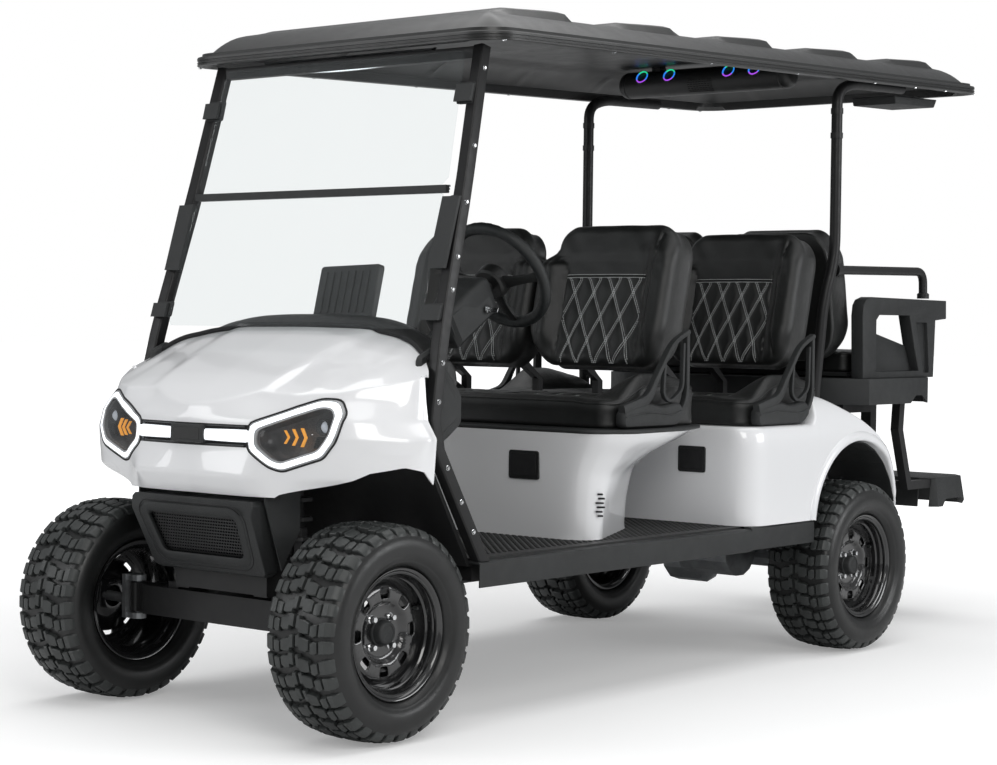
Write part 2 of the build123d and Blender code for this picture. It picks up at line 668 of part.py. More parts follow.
def forward_prism(face):
    """A front view carried through the whole nose."""
    return extrude(Plane.XZ.offset(-100) * face, amount=500, dir=(0, -1, 0))


def front_body():
    """White cowl, light surround, lenses and the dark recess behind the bar."""
    skin_solid = nose_solid(0)
    core = nose_solid(PANEL_GAUGE)
    lamp_hole = lamp_face(PANEL_GAP)
    lamp_prism = forward_prism(lamp_hole + mirror(lamp_hole, about=Plane.YZ) + lamp_bar_face(18))
    arch = side_plate([(-400, 500), (-152, 500), (-140, 614), (-100, 640), (-40, 682), (24, 697),
                       (80, 684), (118, 650), (130, 560), (130, 500)], (278, 700))
    behind = block((-700, 700), (COWL_REAR_Y, 700), (400, 1200))
    hood_back = side_plate([(COWL_REAR_Y - 1, 600), (COWL_REAR_Y - 1, 958), (236, 1000),
                            (236, 1200), (500, 1200), (500, 600)], (-700, 700))
    cowl = skin_solid - core - lamp_prism - arch - mirror(arch, about=Plane.YZ) - (behind & hood_back)
    save("front_cowl", cowl)
    proud = nose_solid(-LAMP_PROUD)
    back = nose_solid(PANEL_GAUGE + 8)
    glow = lamp_face(0)
    window = lamp_face(-LAMP_BAND)
    rings = (glow + mirror(glow, about=Plane.YZ) + lamp_bar_face(0)
             - window - mirror(window, about=Plane.YZ))
    save("light_surround", (proud - back) & forward_prism(rings))
    lens = forward_prism(lamp_face(-LAMP_BAND - 0.5))
    lens_shell = nose_solid(PANEL_GAUGE) - nose_solid(PANEL_GAUGE + 4)
    save("lamp_lenses", both_sides(lens_shell & lens))
FASCIA_SLOPE = (176 - 104) / (560 - 402)


def fascia_y(z):
    """Station of the fascia's sloping face at a height."""
    return -104 - (z - 402) * FASCIA_SLOPE
GRILLE_COLUMNS = 11
GRILLE_ROWS = 6


def sloped_plate(z_range, depth_range, x_range):
    """A plate that follows the fascia's slope, between two depths behind its face."""
    low, high = z_range
    near, far = depth_range
    return side_plate([(fascia_y(low) + near, low), (fascia_y(low) + far, low),
                       (fascia_y(high) + far, high), (fascia_y(high) + near, high)], x_range)


def bumper():
    """Dark lower fascia with its recessed grille and the liner plates beside it."""
    side = [(-172, 600), (-176, 560), (-104, 402), (-92, 397), (-66, 397), (-36, 600)]
    outline = mirrored_outline([(0, 604), (222, 600), (232, 590), (214, 408), (198, 397), (0, 392)])
    shell = side_plate(side, (-300, 300)) & front_plate(outline, (-300, 100))
    inner_side = [(-166, 594), (-169, 562), (-98, 406), (-88, 403), (-20, 380), (0, 594)]
    inner = mirrored_outline([(0, 597), (220, 593), (224, 586), (206, 410), (196, 404), (0, 400)])
    shell -= side_plate(inner_side, (-300, 300)) & front_plate(inner, (-300, 100))
    mouth = mirrored_outline([(0, 556), (160, 556), (172, 546), (158, 452), (144, 442), (0, 442)])
    shell -= front_plate(mouth, (-300, -60))
    save("bumper_fascia", shell)
    grille = sloped_plate((434, 566), (13.5, 19), (-182, 182)) - front_plate(
        mirrored_outline([(0, 553), (160, 553), (168, 545), (152, 452), (140, 445), (0, 445)]),
        (-300, 0))
    for index in range(GRILLE_COLUMNS):
        x = -130 + 260 * index / (GRILLE_COLUMNS - 1)
        grille += sloped_plate((443, 555), (14, 16), (x - 2, x + 2))
    for index in range(GRILLE_ROWS):
        z = 460 + 78 * index / (GRILLE_ROWS - 1)
        reach = 156 + (z - 452) * 16 / 93
        grille += sloped_plate((z - 2, z + 2), (16.5, 18.5), (-reach, reach))
    save("front_grille", grille)
    liner = side_plate([(-140, 596), (-84, 420), (-26, 520), (-26, 636), (-140, 636)], (0, 4))
    place = Pos(258, 0, 0) * Rot(0, 0, -8)
    return both_sides(place * liner)


# ------------------------------------------------------------- struts, glass, roof
STRUT_PATH = ((318, 440), (138, 772), (200, 1060), (306, 1416), (404, 1800))
STRUT_FOOT_X = 580.0
STRUT_TAPER = 0.063


def strut_x(z):
    """The front struts lean inward with height, each in one slanting plane."""
    return STRUT_FOOT_X - (z - 440.0) * STRUT_TAPER


def front_struts():
    """Pair of square struts, bent at the cowl, joined by a bar under the roof."""
    foot = FLOOR_Z + 3 + SEAT_GAP
    start_y = STRUT_PATH[0][0] + 8
    points = [(strut_x(foot - 15), start_y, foot - 15)]
    points += [(strut_x(z), y, z) for y, z in STRUT_PATH[1:]]
    points = eased(points, 45)
    run = (Vector(*points[1]) - Vector(*points[0])).normalized()
    across = Vector(1, 0, -STRUT_TAPER)
    across = (across - run * across.dot(run)).normalized()
    upward = run.cross(across)
    half = STRUT_SIZE / 2
    ring = [across * (a * half) + upward * (b * half)
            for a, b in ((-0.8, -1), (0.8, -1), (1, -0.8), (1, 0.8), (0.8, 1), (-0.8, 1), (-1, 0.8), (-1, -0.8))]
    left = mitred(points, ring) - block((400, 700), (200, 450), (foot - 60, foot))
    top_x = strut_x(1800)
    bar = block((-top_x, top_x), (404 - 16, 404 + 16), (1768, 1800))
    save("front_struts", left + mirror(left, about=Plane.YZ) + bar)


def glass_line(z):
    """Station of the front face of the struts at a height."""
    below = STRUT_PATH[0]
    for above in STRUT_PATH[1:]:
        if z <= above[1]:
            break
        below = above
    share = (z - below[1]) / (above[1] - below[1])
    return below[0] + share * (above[0] - below[0]) - STRUT_SIZE * 0.56


def windshield():
    """Two clear panes with a seam bar between them, and the clips that hold them."""
    gap = 10.0
    corner = 20.0
    panes = (
        # name, lower z, upper z, lower half width, upper half width
        ("windshield_lower", 1046.0, SEAM_Z - gap, GLASS_HALF_WIDTH + 8, GLASS_HALF_WIDTH),
        ("windshield_upper", SEAM_Z + gap, 1790.0, GLASS_HALF_WIDTH, GLASS_HALF_WIDTH - 20),
    )
    for name, low, high, low_x, high_x in panes:
        side = [(glass_line(low), low), (glass_line(low) - GLASS_GAUGE, low),
                (glass_line(high) - GLASS_GAUGE, high), (glass_line(high), high)]
        face = mirrored_outline([(low_x - corner, low), (low_x, low + corner),
                                 (high_x, high - corner), (high_x - corner * 0.3, high - corner * 0.3),
                                 (high_x - corner, high)])
        save(name, side_plate(side, (-600, 600)) & front_plate(face, (0, 900)))
    y = glass_line(SEAM_Z) - GLASS_GAUGE / 2
    seam = block((-GLASS_HALF_WIDTH - 4, GLASS_HALF_WIDTH + 4), (y - 7, y + 7),
                 (SEAM_Z - gap, SEAM_Z + gap))
    fittings = seam
    for z, height in ((1672.0, 46.0), (1300.0, 190.0), (1090.0, 40.0)):
        y_low = glass_line(z - height / 2) - GLASS_GAUGE
        y_high = glass_line(z + height / 2) - GLASS_GAUGE
        side = [(y_low, z - height / 2), (y_low - 9, z - height / 2), (y_high - 9, z + height / 2),
                (y_high, z + height / 2)]
        centre = strut_x(z) - 18
        fittings += both_sides(side_plate(side, (centre - 28, centre + 30)))
    save("windshield_fittings", fittings)


ROOF_TILT = degrees(ROOF_RISE / ROOF_LENGTH)
ROOF_PLACE = Pos(0, ROOF_FRONT_Y, ROOF_FRONT_Z) * Rot(ROOF_TILT, 0, 0)


def roof_ring(inset, z):
    """Corners of the roof's plan drawn in by inset, with y from the front edge."""
    corner = max(ROOF_CORNER - inset * 0.5, 30)
    half = ROOF_HALF_WIDTH - inset
    ring = []
    # centre x, centre y, first angle
    for x, y, start in ((half - corner, inset + corner, -90), (half - corner, ROOF_LENGTH - inset - corner, 0),
                        (corner - half, ROOF_LENGTH - inset - corner, 90), (corner - half, inset + corner, 180)):
        for step in range(4):
            angle = radians(start + 30 * step)
            ring.append((x + corner * cos(angle), y + corner * sin(angle), z))
    return ring


def roof():
    """Moulded roof: stepped drip rail, crown with cross humps, hollow underneath."""
    base_z = ROOF_RAIL + 10
    shell = skin([roof_ring(inset, z) for inset, z in
                  ((0, 0), (0, ROOF_RAIL), (14, ROOF_RAIL), (14, base_z), (40, base_z),
                   (95, base_z + ROOF_CROWN * 0.75), (190, base_z + ROOF_CROWN))])
    low = base_z - ROOF_WALL
    rail = 34 + ROOF_WALL
    cavity = skin([roof_ring(inset, z) for inset, z in
                   ((34, -1), (34, low), (rail + 6, low), (95 + ROOF_WALL, low + ROOF_CROWN * 0.75),
                    (190 + ROOF_WALL, low + ROOF_CROWN))])
    hump_width = 2 * (ROOF_HALF_WIDTH - 165)
    count = 5
    for index in range(count):
        y = ROOF_LENGTH * (index + 0.62) / (count + 0.25)
        pad = Pos(0, y, base_z + ROOF_CROWN) * Box(hump_width, 300, 2 * ROOF_HUMP)
        shell += chamfer(pad.edges().group_by(Axis.Z)[-1], ROOF_HUMP * 0.95)
    save("roof", ROOF_PLACE * (shell - cavity))


REAR_STRUT_Y = 2190.0
REAR_STRUT_X = 512.0
DASH_HALF_WIDTH = 500.0
POD_OUTER_X = 525.5             # outer face of the pods inboard of the front struts
GRIP_RADIUS = 14.0
STRUT_WELL_Y = 2132.0


def ceiling_z(y):
    """Height of the flat inner face of the roof's crown at a station."""
    local = ROOF_RAIL + 10 - ROOF_WALL + ROOF_CROWN
    tilt = radians(ROOF_TILT)
    return ROOF_FRONT_Z + (y - ROOF_FRONT_Y + local * sin(tilt)) * tan(tilt) + local * cos(tilt)


def rear_struts():
    """Round struts from the rear body's well up to the roof, bent rearward at the top."""
    foot = REAR_RIM_Z + SEAT_GAP
    strut = flat_bar(eased([(470, STRUT_WELL_Y, foot - 30), (496, STRUT_WELL_Y + 20, 1150),
                            (REAR_STRUT_X, REAR_STRUT_Y, 1290), (REAR_STRUT_X, REAR_STRUT_Y, 1836),
                            (REAR_STRUT_X, REAR_STRUT_Y + 90, 1868),
                            (REAR_STRUT_X, REAR_STRUT_Y + 420, 1879)], 24), REAR_TUBE_RADIUS, 8)
    strut -= block((400, 560), (STRUT_WELL_Y - 60, STRUT_WELL_Y + 60), (foot - 90, foot))
    save("rear_struts", both_sides(strut))


SOUND_BAR_RADIUS = 46.0
SOUND_BAR_LENGTH = 700.0


def sound_bar():
    """Round-ended speaker bar hung inside the crown of the roof, across the cart."""
    y = REAR_STRUT_Y - 10
    ceiling = ceiling_z(y - 20)
    z = ceiling - SOUND_BAR_RADIUS - 12
    half = SOUND_BAR_LENGTH / 2
    end = SOUND_BAR_RADIUS / 3
    body = Pos(0, y, z) * flat_ring([(-half, 0), (-half, SOUND_BAR_RADIUS - end), (-half + end, SOUND_BAR_RADIUS),
                                     (half - end, SOUND_BAR_RADIUS), (half, SOUND_BAR_RADIUS - end),
                                     (half, 0)], 14)
    for side in (-1, 1):
        body += block((side * 200 - 18, side * 200 + 18), (y - 20, y + 20), (z + 30, ceiling - SEAT_GAP))
    save("sound_bar", body)
    housing = side_plate([(2640, 1862), (2648, 1834), (2920, 1842), (2940, 1872)], (300, 470))
    save("roof_rear_box", housing)


# ------------------------------------------------------------------ dash and controls
def dashboard():
    """Black cowl band behind the hood, with the shelf, the side pods and the display."""
    side = [(240, 1018), (252, 1056), (290, 1060), (430, 1030), (470, 960), (440, 820),
            (330, 800), (200, 800), (TOE_TOP_Y + 6, TOE_TOP_Z + 4), (TOE_TOP_Y - 16, TOE_TOP_Z + 4),
            (130, 800), (130, 920), (240, 984)]
    crown = mirrored_outline([(0, 1062), (220, 1046), (380, 1015), (560, 958), (560, 600)])
    body = side_plate(side, (-DASH_HALF_WIDTH, DASH_HALF_WIDTH)) & front_plate(crown, (0, 900))
    inner = [(262, 1010), (290, 1036), (424, 1008), (448, 956), (424, 836), (326, 822), (190, 822),
             (158, 840), (158, 950)]
    hollow = side_plate(inner, (-DASH_HALF_WIDTH + 24, DASH_HALF_WIDTH - 24))
    foot, joint, _ = column_points()
    passage = bar_between(foot, joint, 30) + Location(joint) * Box(64, 64, 64)
    passage += bar_between(joint, tuple(Vector(*joint) + column_axis() * 240), 34)
    save("dashboard", body - (hollow & Pos(0, 0, -22) * body) - passage)
    inboard = DASH_HALF_WIDTH + SEAT_GAP
    pod = side_plate([(139, 975), (196, 1000), (310, 876), (310, 798), (262, 765), (166, 716),
                      (122, 776)], (inboard, POD_OUTER_X))
    pod = chamfer(pod.faces().sort_by(Axis.X)[-1].edges(), 7)
    save("side_pods", both_sides(pod))
    tilt = Pos(44, 372, 1142) * Rot(-14, 0, -6)
    screen = tilt * chamfer(Box(250, 26, 156).edges().filter_by(Axis.Y), 8)
    stand = bar_between((44, 372, 1068), (44, 374, 1048), 14)
    save("dash_display", screen + stand)


def column_axis():
    """Unit vector up the steering column, towards the driver."""
    tilt = radians(COLUMN_TILT)
    return Vector(0, cos(tilt), sin(tilt))


def column_points():
    """Lower end, universal joint and upper end of the steering column."""
    centre = Vector(STEERING_X, STEERING_Y, STEERING_Z)
    top = centre - column_axis() * 84
    joint = centre - column_axis() * 430
    foot = (STEERING_X, joint.Y - 90, 560)
    return foot, tuple(joint), tuple(top)


def steering():
    """Column with its shroud, the turning wheel, and the two pedals."""
    centre = Vector(STEERING_X, STEERING_Y, STEERING_Z)
    axis = column_axis()
    plane = Plane(centre, x_dir=(1, 0, 0), z_dir=axis)
    turning = Plane(centre, x_dir=axis, z_dir=(1, 0, 0))
    radius = WHEEL_RIM_RADIUS - GRIP_RADIUS
    section = [(GRIP_RADIUS * sin(turn * pi / 3), radius + GRIP_RADIUS * cos(turn * pi / 3))
               for turn in range(6)]
    wheel = turning * flat_ring(section, 22)
    wheel += turning * flat_ring([(-56, 0), (-56, 46), (-46, 52), (-16, 50), (-12, 40), (-12, 0)], 10)
    wheel += plane * Pos(0, 0, -66) * Cylinder(12, 24)
    spoke = plane * Pos(WHEEL_RIM_RADIUS / 2, 0, -18) * Rot(0, -12, 0) * Box(WHEEL_RIM_RADIUS - 40, 30, 12)
    for turn in (0, 90, 180):
        turned = plane * Rot(0, 0, turn) * plane.location.inverse() * spoke
        wheel += turned
    save("steering_wheel", wheel)
    foot, joint, top = column_points()
    column = bar_between(joint, top, 20)
    column += bar_between(joint, foot, 12)
    column += Location(joint) * Box(38, 38, 38)
    shroud = Plane(centre - axis * 200, x_dir=(1, 0, 0), z_dir=axis) * Box(104, 110, 190)
    shroud = chamfer(shroud.edges().filter_by(Plane.XZ, reverse=True), 14)
    save("steering_column", column + shroud)
    pedals = None
    for x, width, z in ((330.0, 60.0, 530.0), (215.0, 96.0, 545.0)):
        pad = Pos(x, 262, z) * Rot(32, 0, 0) * Box(width, 10, 90)
        arm = bar_between((x, 262, z + 20), (x, 205, z + 150), 8)
        pair = pad + arm
        pedals = pair if pedals is None else pedals + pair
    save("pedals", pedals)


# ------------------------------------------------------------------------- seat pods
FRONT_POD_LEVELS = (
    # z, front x, front y, side x, side y, hip x, hip y, rear x, rear y
    (0.0, 470, 872, 512, 930, 470, 1010, 330, 1300),
    (0.62, 480, 868, 524, 926, 505, 1035, 350, 1310),
    (0.80, 500, 866, 560, 940, 545, 1100, 420, 1330),
    (0.93, 520, 862, 596, 960, 572, 1235, 470, 1400),
    (1.0, 524, 860, 600, 960, 580, 1250, 500, 1442),
)


def pod_ring(row, inset):
    """Plan corners of one slice of the seat pod, drawn in by inset."""
    _, front_x, front_y, side_x, side_y, hip_x, hip_y, rear_x, rear_y = row
    return mirrored_outline([(0, front_y + inset), (front_x - inset, front_y + inset),
                             (side_x - inset, side_y + inset * 0.4), (hip_x - inset, hip_y - inset * 0.3),
                             (rear_x - inset, rear_y - inset), (0, rear_y - inset)])


def front_pod():
    """White pod that carries the front bench, flared at its rim, open underneath."""
    start = MAT_Z + 1
    height = POD_RIM_Z - start
    outer = [[(x, y, start + row[0] * height) for x, y in pod_ring(row, 0)] for row in FRONT_POD_LEVELS]
    inner = []
    for row in FRONT_POD_LEVELS:
        level = start - 5 if row[0] == 0 else start + row[0] * height - PANEL_GAUGE - 1
        inner.append([(x, y, level) for x, y in pod_ring(row, PANEL_GAUGE + 1)])
    save("seat_pod_front", skin(outer) - skin(inner))
    rim = plan_plate(pod_ring(FRONT_POD_LEVELS[-1], -3), (POD_RIM_Z, POD_RIM_Z + 8))
    save("seat_rim_front", rim)


REAR_BODY_FRONT_Y = 1572.0
REAR_RIM_Z = 752.0
HAUNCH_Y = 2000.0
WELL_REAR_Y = 2160.0
REAR_BODY_TAIL_Y = WHEELBASE + 325.0
ARCH_RADIUS = 276.0
ARCH_Z = 415.0


def rear_body_side(inset):
    """Side view of the rear body: level rim, rounded haunch, falling tail."""
    front = REAR_BODY_FRONT_Y + inset
    haunch = HAUNCH_Y
    tail = REAR_BODY_TAIL_Y - inset
    top = REAR_RIM_Z - inset
    return [(front, POD_Z), (front, top), (haunch - 40, top), (haunch - 10, 800 - inset),
            (haunch + 22, 842 - inset), (haunch + 135, 812 - inset), (haunch + 250, 764 - inset),
            (haunch + 350, 705 - inset), (haunch + 440, 636 - inset), (haunch + 508, 560 - inset),
            (tail - 14, 490), (tail, POD_Z)]


def rear_body():
    """White rear body with wheel arches, open underneath, carrying the second bench."""
    def form(inset):
        half = BODY_HALF_WIDTH - inset
        front = REAR_BODY_FRONT_Y + inset
        tail = REAR_BODY_TAIL_Y - inset
        plan = mirrored_outline([(0, front), (half - 90, front), (half - 38, front + 18),
                                 (half - 12, front + 52), (half, front + 110), (half, tail - 240),
                                 (half - 26, tail - 60), (half - 60, tail), (0, tail)])
        body = side_plate(rear_body_side(inset), (-700, 700)) & plan_plate(plan, (400, 900))
        shoulder = mirrored_outline([(0, 900), (half - 130, 900), (half - 70, 842), (half - 18, 770),
                                     (half, 690), (half, 400), (0, 400)])
        return body & front_plate(shoulder, (REAR_BODY_FRONT_Y - 50, REAR_BODY_TAIL_Y + 50))
    body = form(0) - (Pos(0, 0, -PANEL_GAUGE) * form(PANEL_GAUGE))
    well_x = BENCH_HALF_WIDTH + 8
    body -= block((-well_x, well_x), (REAR_BODY_FRONT_Y + 20, WELL_REAR_Y), (REAR_RIM_Z, 900))
    body += block((-well_x, well_x), (HAUNCH_Y - 60, WELL_REAR_Y + 2),
                  (REAR_RIM_Z - PANEL_GAUGE, REAR_RIM_Z))
    body += block((-well_x, well_x), (WELL_REAR_Y, WELL_REAR_Y + PANEL_GAUGE),
                  (REAR_RIM_Z - PANEL_GAUGE, 792))
    arch_y = WHEELBASE - 8
    body -= drum_x((-700, 700), arch_y, ARCH_Z, ARCH_RADIUS, 24)
    body -= block((-700, 700), (arch_y - 274, arch_y + 274), (380, ARCH_Z + 40))
    save("rear_body", body)
    inner_x = BODY_HALF_WIDTH - 42
    limits = (inner_x - 220, inner_x + 20)
    liner = drum_x(limits, arch_y, ARCH_Z, ARCH_RADIUS - 1, 24)
    liner -= drum_x((limits[0] - 1, limits[1] + 1), arch_y, ARCH_Z, ARCH_RADIUS - 5, 24)
    return both_sides(liner & block((0, 800), (0, 4000), (ARCH_Z + 60, 900)))


# ----------------------------------------------------------------------------- seats
def cushion(half_width, depth, height, bolster):
    """Bench cushion: a slab with eased edges and a raised bolster at each outer end."""
    slab = Box(2 * half_width, depth, height)
    slab = chamfer(slab.edges().group_by(Axis.Z)[-1], 20)
    slab = Pos(0, depth / 2, height / 2) * slab
    if bolster > 0:
        start = depth * 0.16
        hump = [(start, height - 30), (start + 60, height + bolster * 0.55),
                (start + 130, height + bolster), (start + 210, height + bolster),
                (depth - 40, height + bolster * 0.4), (depth - 20, height - 30)]
        for side in (-1, 1):
            limits = sorted((side * (half_width - BOLSTER_WIDTH), side * (half_width - 4)))
            slab += side_plate(hump, limits)
    return slab


def backrest(width):
    """Backrest: wide in the lower part with a narrower head, and a wing down each side."""
    half = width / 2
    head = half - 52
    top = BACK_HEIGHT
    outline = mirrored_outline([(0, 0), (half - 28, 0), (half - 9, 16), (half, 120), (half, 240),
                                (half - 8, 268), (head + 6, 350), (head - 2, top - 24),
                                (head - 10, top - 8), (head - 30, top), (0, top)])
    slab = extrude(Plane.XZ * Polygon(*outline, align=None), amount=BACK_THICKNESS, dir=(0, 1, 0))
    slab = chamfer(slab.faces().sort_by(Axis.Y)[0].edges(), 7)
    wing = [(half - 78, 40), (half - 8, 60), (half - 8, 235), (half - 60, 330), (half - 92, 300)]
    for side in (-1, 1):
        points = [(side * x, z) for x, z in wing]
        slab += front_plate(points, (-34, 10))
    return slab


def back_place(front_y, z, lean):
    """Stand a backrest with the foot of its face at a station, leaning rearward."""
    return Pos(0, front_y, z) * Rot(-lean, 0, 0)


SEAT_ROWS = (
    # name, shift rearward, height of the rim under the cushion
    ("row1", 0.0, POD_RIM_Z + 8.0),
    ("row2", ROW_PITCH, REAR_RIM_Z),
)
BACK_FOOT_Y = BENCH_FRONT_Y + 262.0
TRAY_FRONT_Y = 2290.0
TRAY_REAR_Y = 2852.0
REAR_BACK_Y = 2380.0
REAR_SEAT_Y = TRAY_REAR_Y - REAR_SEAT_DEPTH - 2.0
REAR_SEAT_Z = TRAY_TOP_Z + 6.0
HINGE_X = 260.0
HINGE_Y = TRAY_REAR_Y + 10.0
HINGE_Z = TRAY_TOP_Z + 9.0
HINGE_PIN_RADIUS = 4.0


def hinge_brackets():
    """Brackets on the tray's rear wall, each pair with the pin that the seat turns on."""
    brackets = None
    for side in (-1, 1):
        centre = side * HINGE_X
        pin = Pos(centre, HINGE_Y, HINGE_Z) * Rot(0, 90, 0) * Cylinder(HINGE_PIN_RADIUS, 60)
        for edge in (-23, 23):
            pin += side_plate([(TRAY_REAR_Y + SEAT_GAP, HINGE_Z - 38), (TRAY_REAR_Y + 12, HINGE_Z - 38),
                               (HINGE_Y + 8, HINGE_Z - 8), (HINGE_Y + 8, HINGE_Z + 7),
                               (HINGE_Y - 7, HINGE_Z + 7), (HINGE_Y - 7, HINGE_Z - 4),
                               (TRAY_REAR_Y + SEAT_GAP, HINGE_Z - 12)],
                              (centre + edge - 9, centre + edge + 9))
        brackets = pin if brackets is None else brackets + pin
    return brackets


def seats():
    """Cushions and backrests of the three rows, and the hinged deck of the rear one."""
    bench = cushion(BENCH_HALF_WIDTH, BENCH_DEPTH, CUSHION_HEIGHT, BOLSTER_HEIGHT)
    back = backrest(BACK_WIDTH)
    centre = BACK_WIDTH / 2 + BACK_GAP / 2
    for name, shift, rim_z in SEAT_ROWS:
        save(f"cushion_{name}", Pos(0, BENCH_FRONT_Y + shift, rim_z + SEAT_SEATING) * bench)
        pair = [Pos(side * centre, 0, 0) * back_place(BACK_FOOT_Y + shift, BACK_Z, BACK_LEAN) * back
                for side in (-1, 1)]
        save(f"backrests_{name}", Compound(children=pair))
    rear = cushion(REAR_SEAT_HALF_WIDTH, REAR_SEAT_DEPTH, REAR_SEAT_HEIGHT - 14, 0)
    deck = block((-REAR_SEAT_HALF_WIDTH + 5, REAR_SEAT_HALF_WIDTH - 5),
                 (REAR_SEAT_Y + 5, REAR_SEAT_Y + REAR_SEAT_DEPTH - 5), (REAR_SEAT_Z, REAR_SEAT_Z + 14))
    for side in (-1, 1):
        leaf = (side * HINGE_X - 9, side * HINGE_X + 9)
        deck += block(leaf, (REAR_SEAT_Y + REAR_SEAT_DEPTH - 10, HINGE_Y), (HINGE_Z + 1, HINGE_Z + 8))
        deck += drum_x(leaf, HINGE_Y, HINGE_Z, 8, 8)
        deck -= Pos(side * HINGE_X, HINGE_Y, HINGE_Z) * Rot(0, 90, 0) * Cylinder(
            HINGE_PIN_RADIUS + RUNNING_CLEARANCE, 20)
    save("rear_seat_deck", deck)
    save("cushion_row3", Pos(0, REAR_SEAT_Y, REAR_SEAT_Z + 14) * rear)
    width = ARM_X - ARM_THICKNESS / 2 - 14
    turned = Rot(0, 0, 180) * backrest(width - BACK_GAP / 2)
    pair = [Pos(side * (width + BACK_GAP / 2) / 2, REAR_BACK_Y, TRAY_TOP_Z + 70)
            * Rot(BACK_LEAN - 4, 0, 0) * turned for side in (-1, 1)]
    save("backrests_row3", Compound(children=pair))


def seat_frames():
    """Steel uprights and rails that hold the backrests of each row."""
    lean = tan(radians(BACK_LEAN))
    parts = None
    for _, shift, rim_z in SEAT_ROWS:
        foot_y = BENCH_FRONT_Y + BENCH_DEPTH + 22 + shift
        knee_z = rim_z + CUSHION_HEIGHT + 30
        top_z = BACK_Z + 250
        back_y = BACK_FOOT_Y + shift + BACK_THICKNESS
        top_y = back_y + 250 * lean + 16
        low_y = back_y + 20
        for x in (-420.0, -120.0, 120.0, 420.0):
            post = side_plate([(foot_y - 12, rim_z), (foot_y + 12, rim_z), (foot_y + 12, knee_z),
                               (low_y + 14, BACK_Z + 20), (top_y + 12, top_z), (top_y - 4, top_z),
                               (low_y - 4, BACK_Z), (foot_y - 12, knee_z)], (x - 12, x + 12))
            parts = post if parts is None else parts + post
        rail_y = back_y + 100 * lean + 18
        parts += block((-440, 440), (rail_y - 4, rail_y + 12), (BACK_Z + 80, BACK_Z + 120))
    save("seat_frames", parts)


ARMREST_X = 548.0
ARMREST_WIDTH = 22.0


def armrests():
    """Hip restraints at the ends of the forward benches, each one loop on a plinth."""
    outer = Polyline((952, 800), (962, 826), (1094, 858), (1136, 930), (1226, 1036), (1280, 1044),
                     (1284, 836), (1256, 798), (1206, 786), (966, 790), close=True)
    hole = Polyline((1128, 850), (1166, 930), (1244, 1010), (1252, 850), (1216, 822), (1150, 822),
                    close=True)
    loop = extrude(Plane.YZ.offset(ARMREST_X) * (make_face(outer) - make_face(hole)),
                   amount=ARMREST_WIDTH, dir=(1, 0, 0))
    plinth = side_plate([(952, POD_RIM_Z + 8), (1224, POD_RIM_Z + 8), (1218, 790), (962, 792)],
                        (ARMREST_X - 12, ARMREST_X + ARMREST_WIDTH))
    arm = loop + plinth
    pairs = None
    for _, shift, rim_z in SEAT_ROWS:
        pair = both_sides(Pos(0, shift, rim_z - SEAT_ROWS[0][2]) * arm)
        pairs = pair if pairs is None else pairs + pair
    save("armrests", pairs)


# ------------------------------------------------------------------ rear seat and step
def tray_outline(inset):
    """Plan of the rear tray with its cut corners."""
    half = TRAY_HALF_WIDTH - inset
    front = TRAY_FRONT_Y + inset
    rear = TRAY_REAR_Y - inset
    return mirrored_outline([(0, front), (half - 130, front), (half, front + 90),
                             (half, rear - 70), (half - 50, rear), (0, rear)])


def rear_tray():
    """Moulded tray under the rear seat, open underneath, with scooped rear corners."""
    low = TRAY_TOP_Z - TRAY_HEIGHT
    tray = plan_plate(tray_outline(0), (low, TRAY_TOP_Z))
    tray -= plan_plate(tray_outline(TRAY_GAUGE), (low - 1, TRAY_TOP_Z - TRAY_GAUGE))
    scoop = drum_x((-600, 600), TRAY_REAR_Y - 130, low - 40, 70, 10)
    save("rear_tray", tray - scoop)
    posts = hinge_brackets()
    for x in (-RAIL_X, RAIL_X):
        for y in (REAR_BODY_TAIL_Y + 45, TRAY_REAR_Y - 60):
            posts += block((x - 20, x + 20), (y - 20, y + 20), (FLOOR_BOTTOM_Z, low + 82))
        posts += block((x - 20, x + 20), (REAR_BODY_TAIL_Y + 45, TRAY_REAR_Y - 60),
                       (low - 40, low - 10))
    return posts


def rear_arms():
    """Moulded side arms of the rear seat, each with a window and a recessed web."""
    y0 = 2359.0
    outer = [(y0 + 8, TRAY_TOP_Z), (y0, 1100), (y0 + 6, 1136), (y0 + 22, 1154), (y0 + 60, 1164),
             (2936, 1158), (2938, 1094), (2860, 1088), (TRAY_REAR_Y - 2, TRAY_TOP_Z)]
    hole = [(y0 + 92, 912), (y0 + 92, 1086), (y0 + 112, 1104), (2676, 1104), (2714, 990), (2746, 912)]
    low = ARM_X - ARM_THICKNESS / 2
    arm = side_plate(outer, (low, low + ARM_THICKNESS)) - side_plate(hole, (low - 1, low + ARM_THICKNESS + 1))
    arm -= side_plate([(2780, 905), (2720, 1080), (2800, 1080), (2820, 905)], (low + 30, low + 60))
    web = side_plate([(y0 + 88, 908), (y0 + 88, 1052), (2700, 1000), (2750, 908)],
                     (low + 6, low + 14))
    save("rear_arms", both_sides(arm + web))
    start_y = REAR_STRUT_Y + REAR_TUBE_RADIUS + 1
    hoop = flat_bar(eased([(HOOP_X, start_y, 1250), (HOOP_X, 2805, 1258), (HOOP_X, 2808, 1164 + SEAT_GAP)],
                          40), HOOP_RADIUS, 8)
    save("rear_hoops", both_sides(hoop))


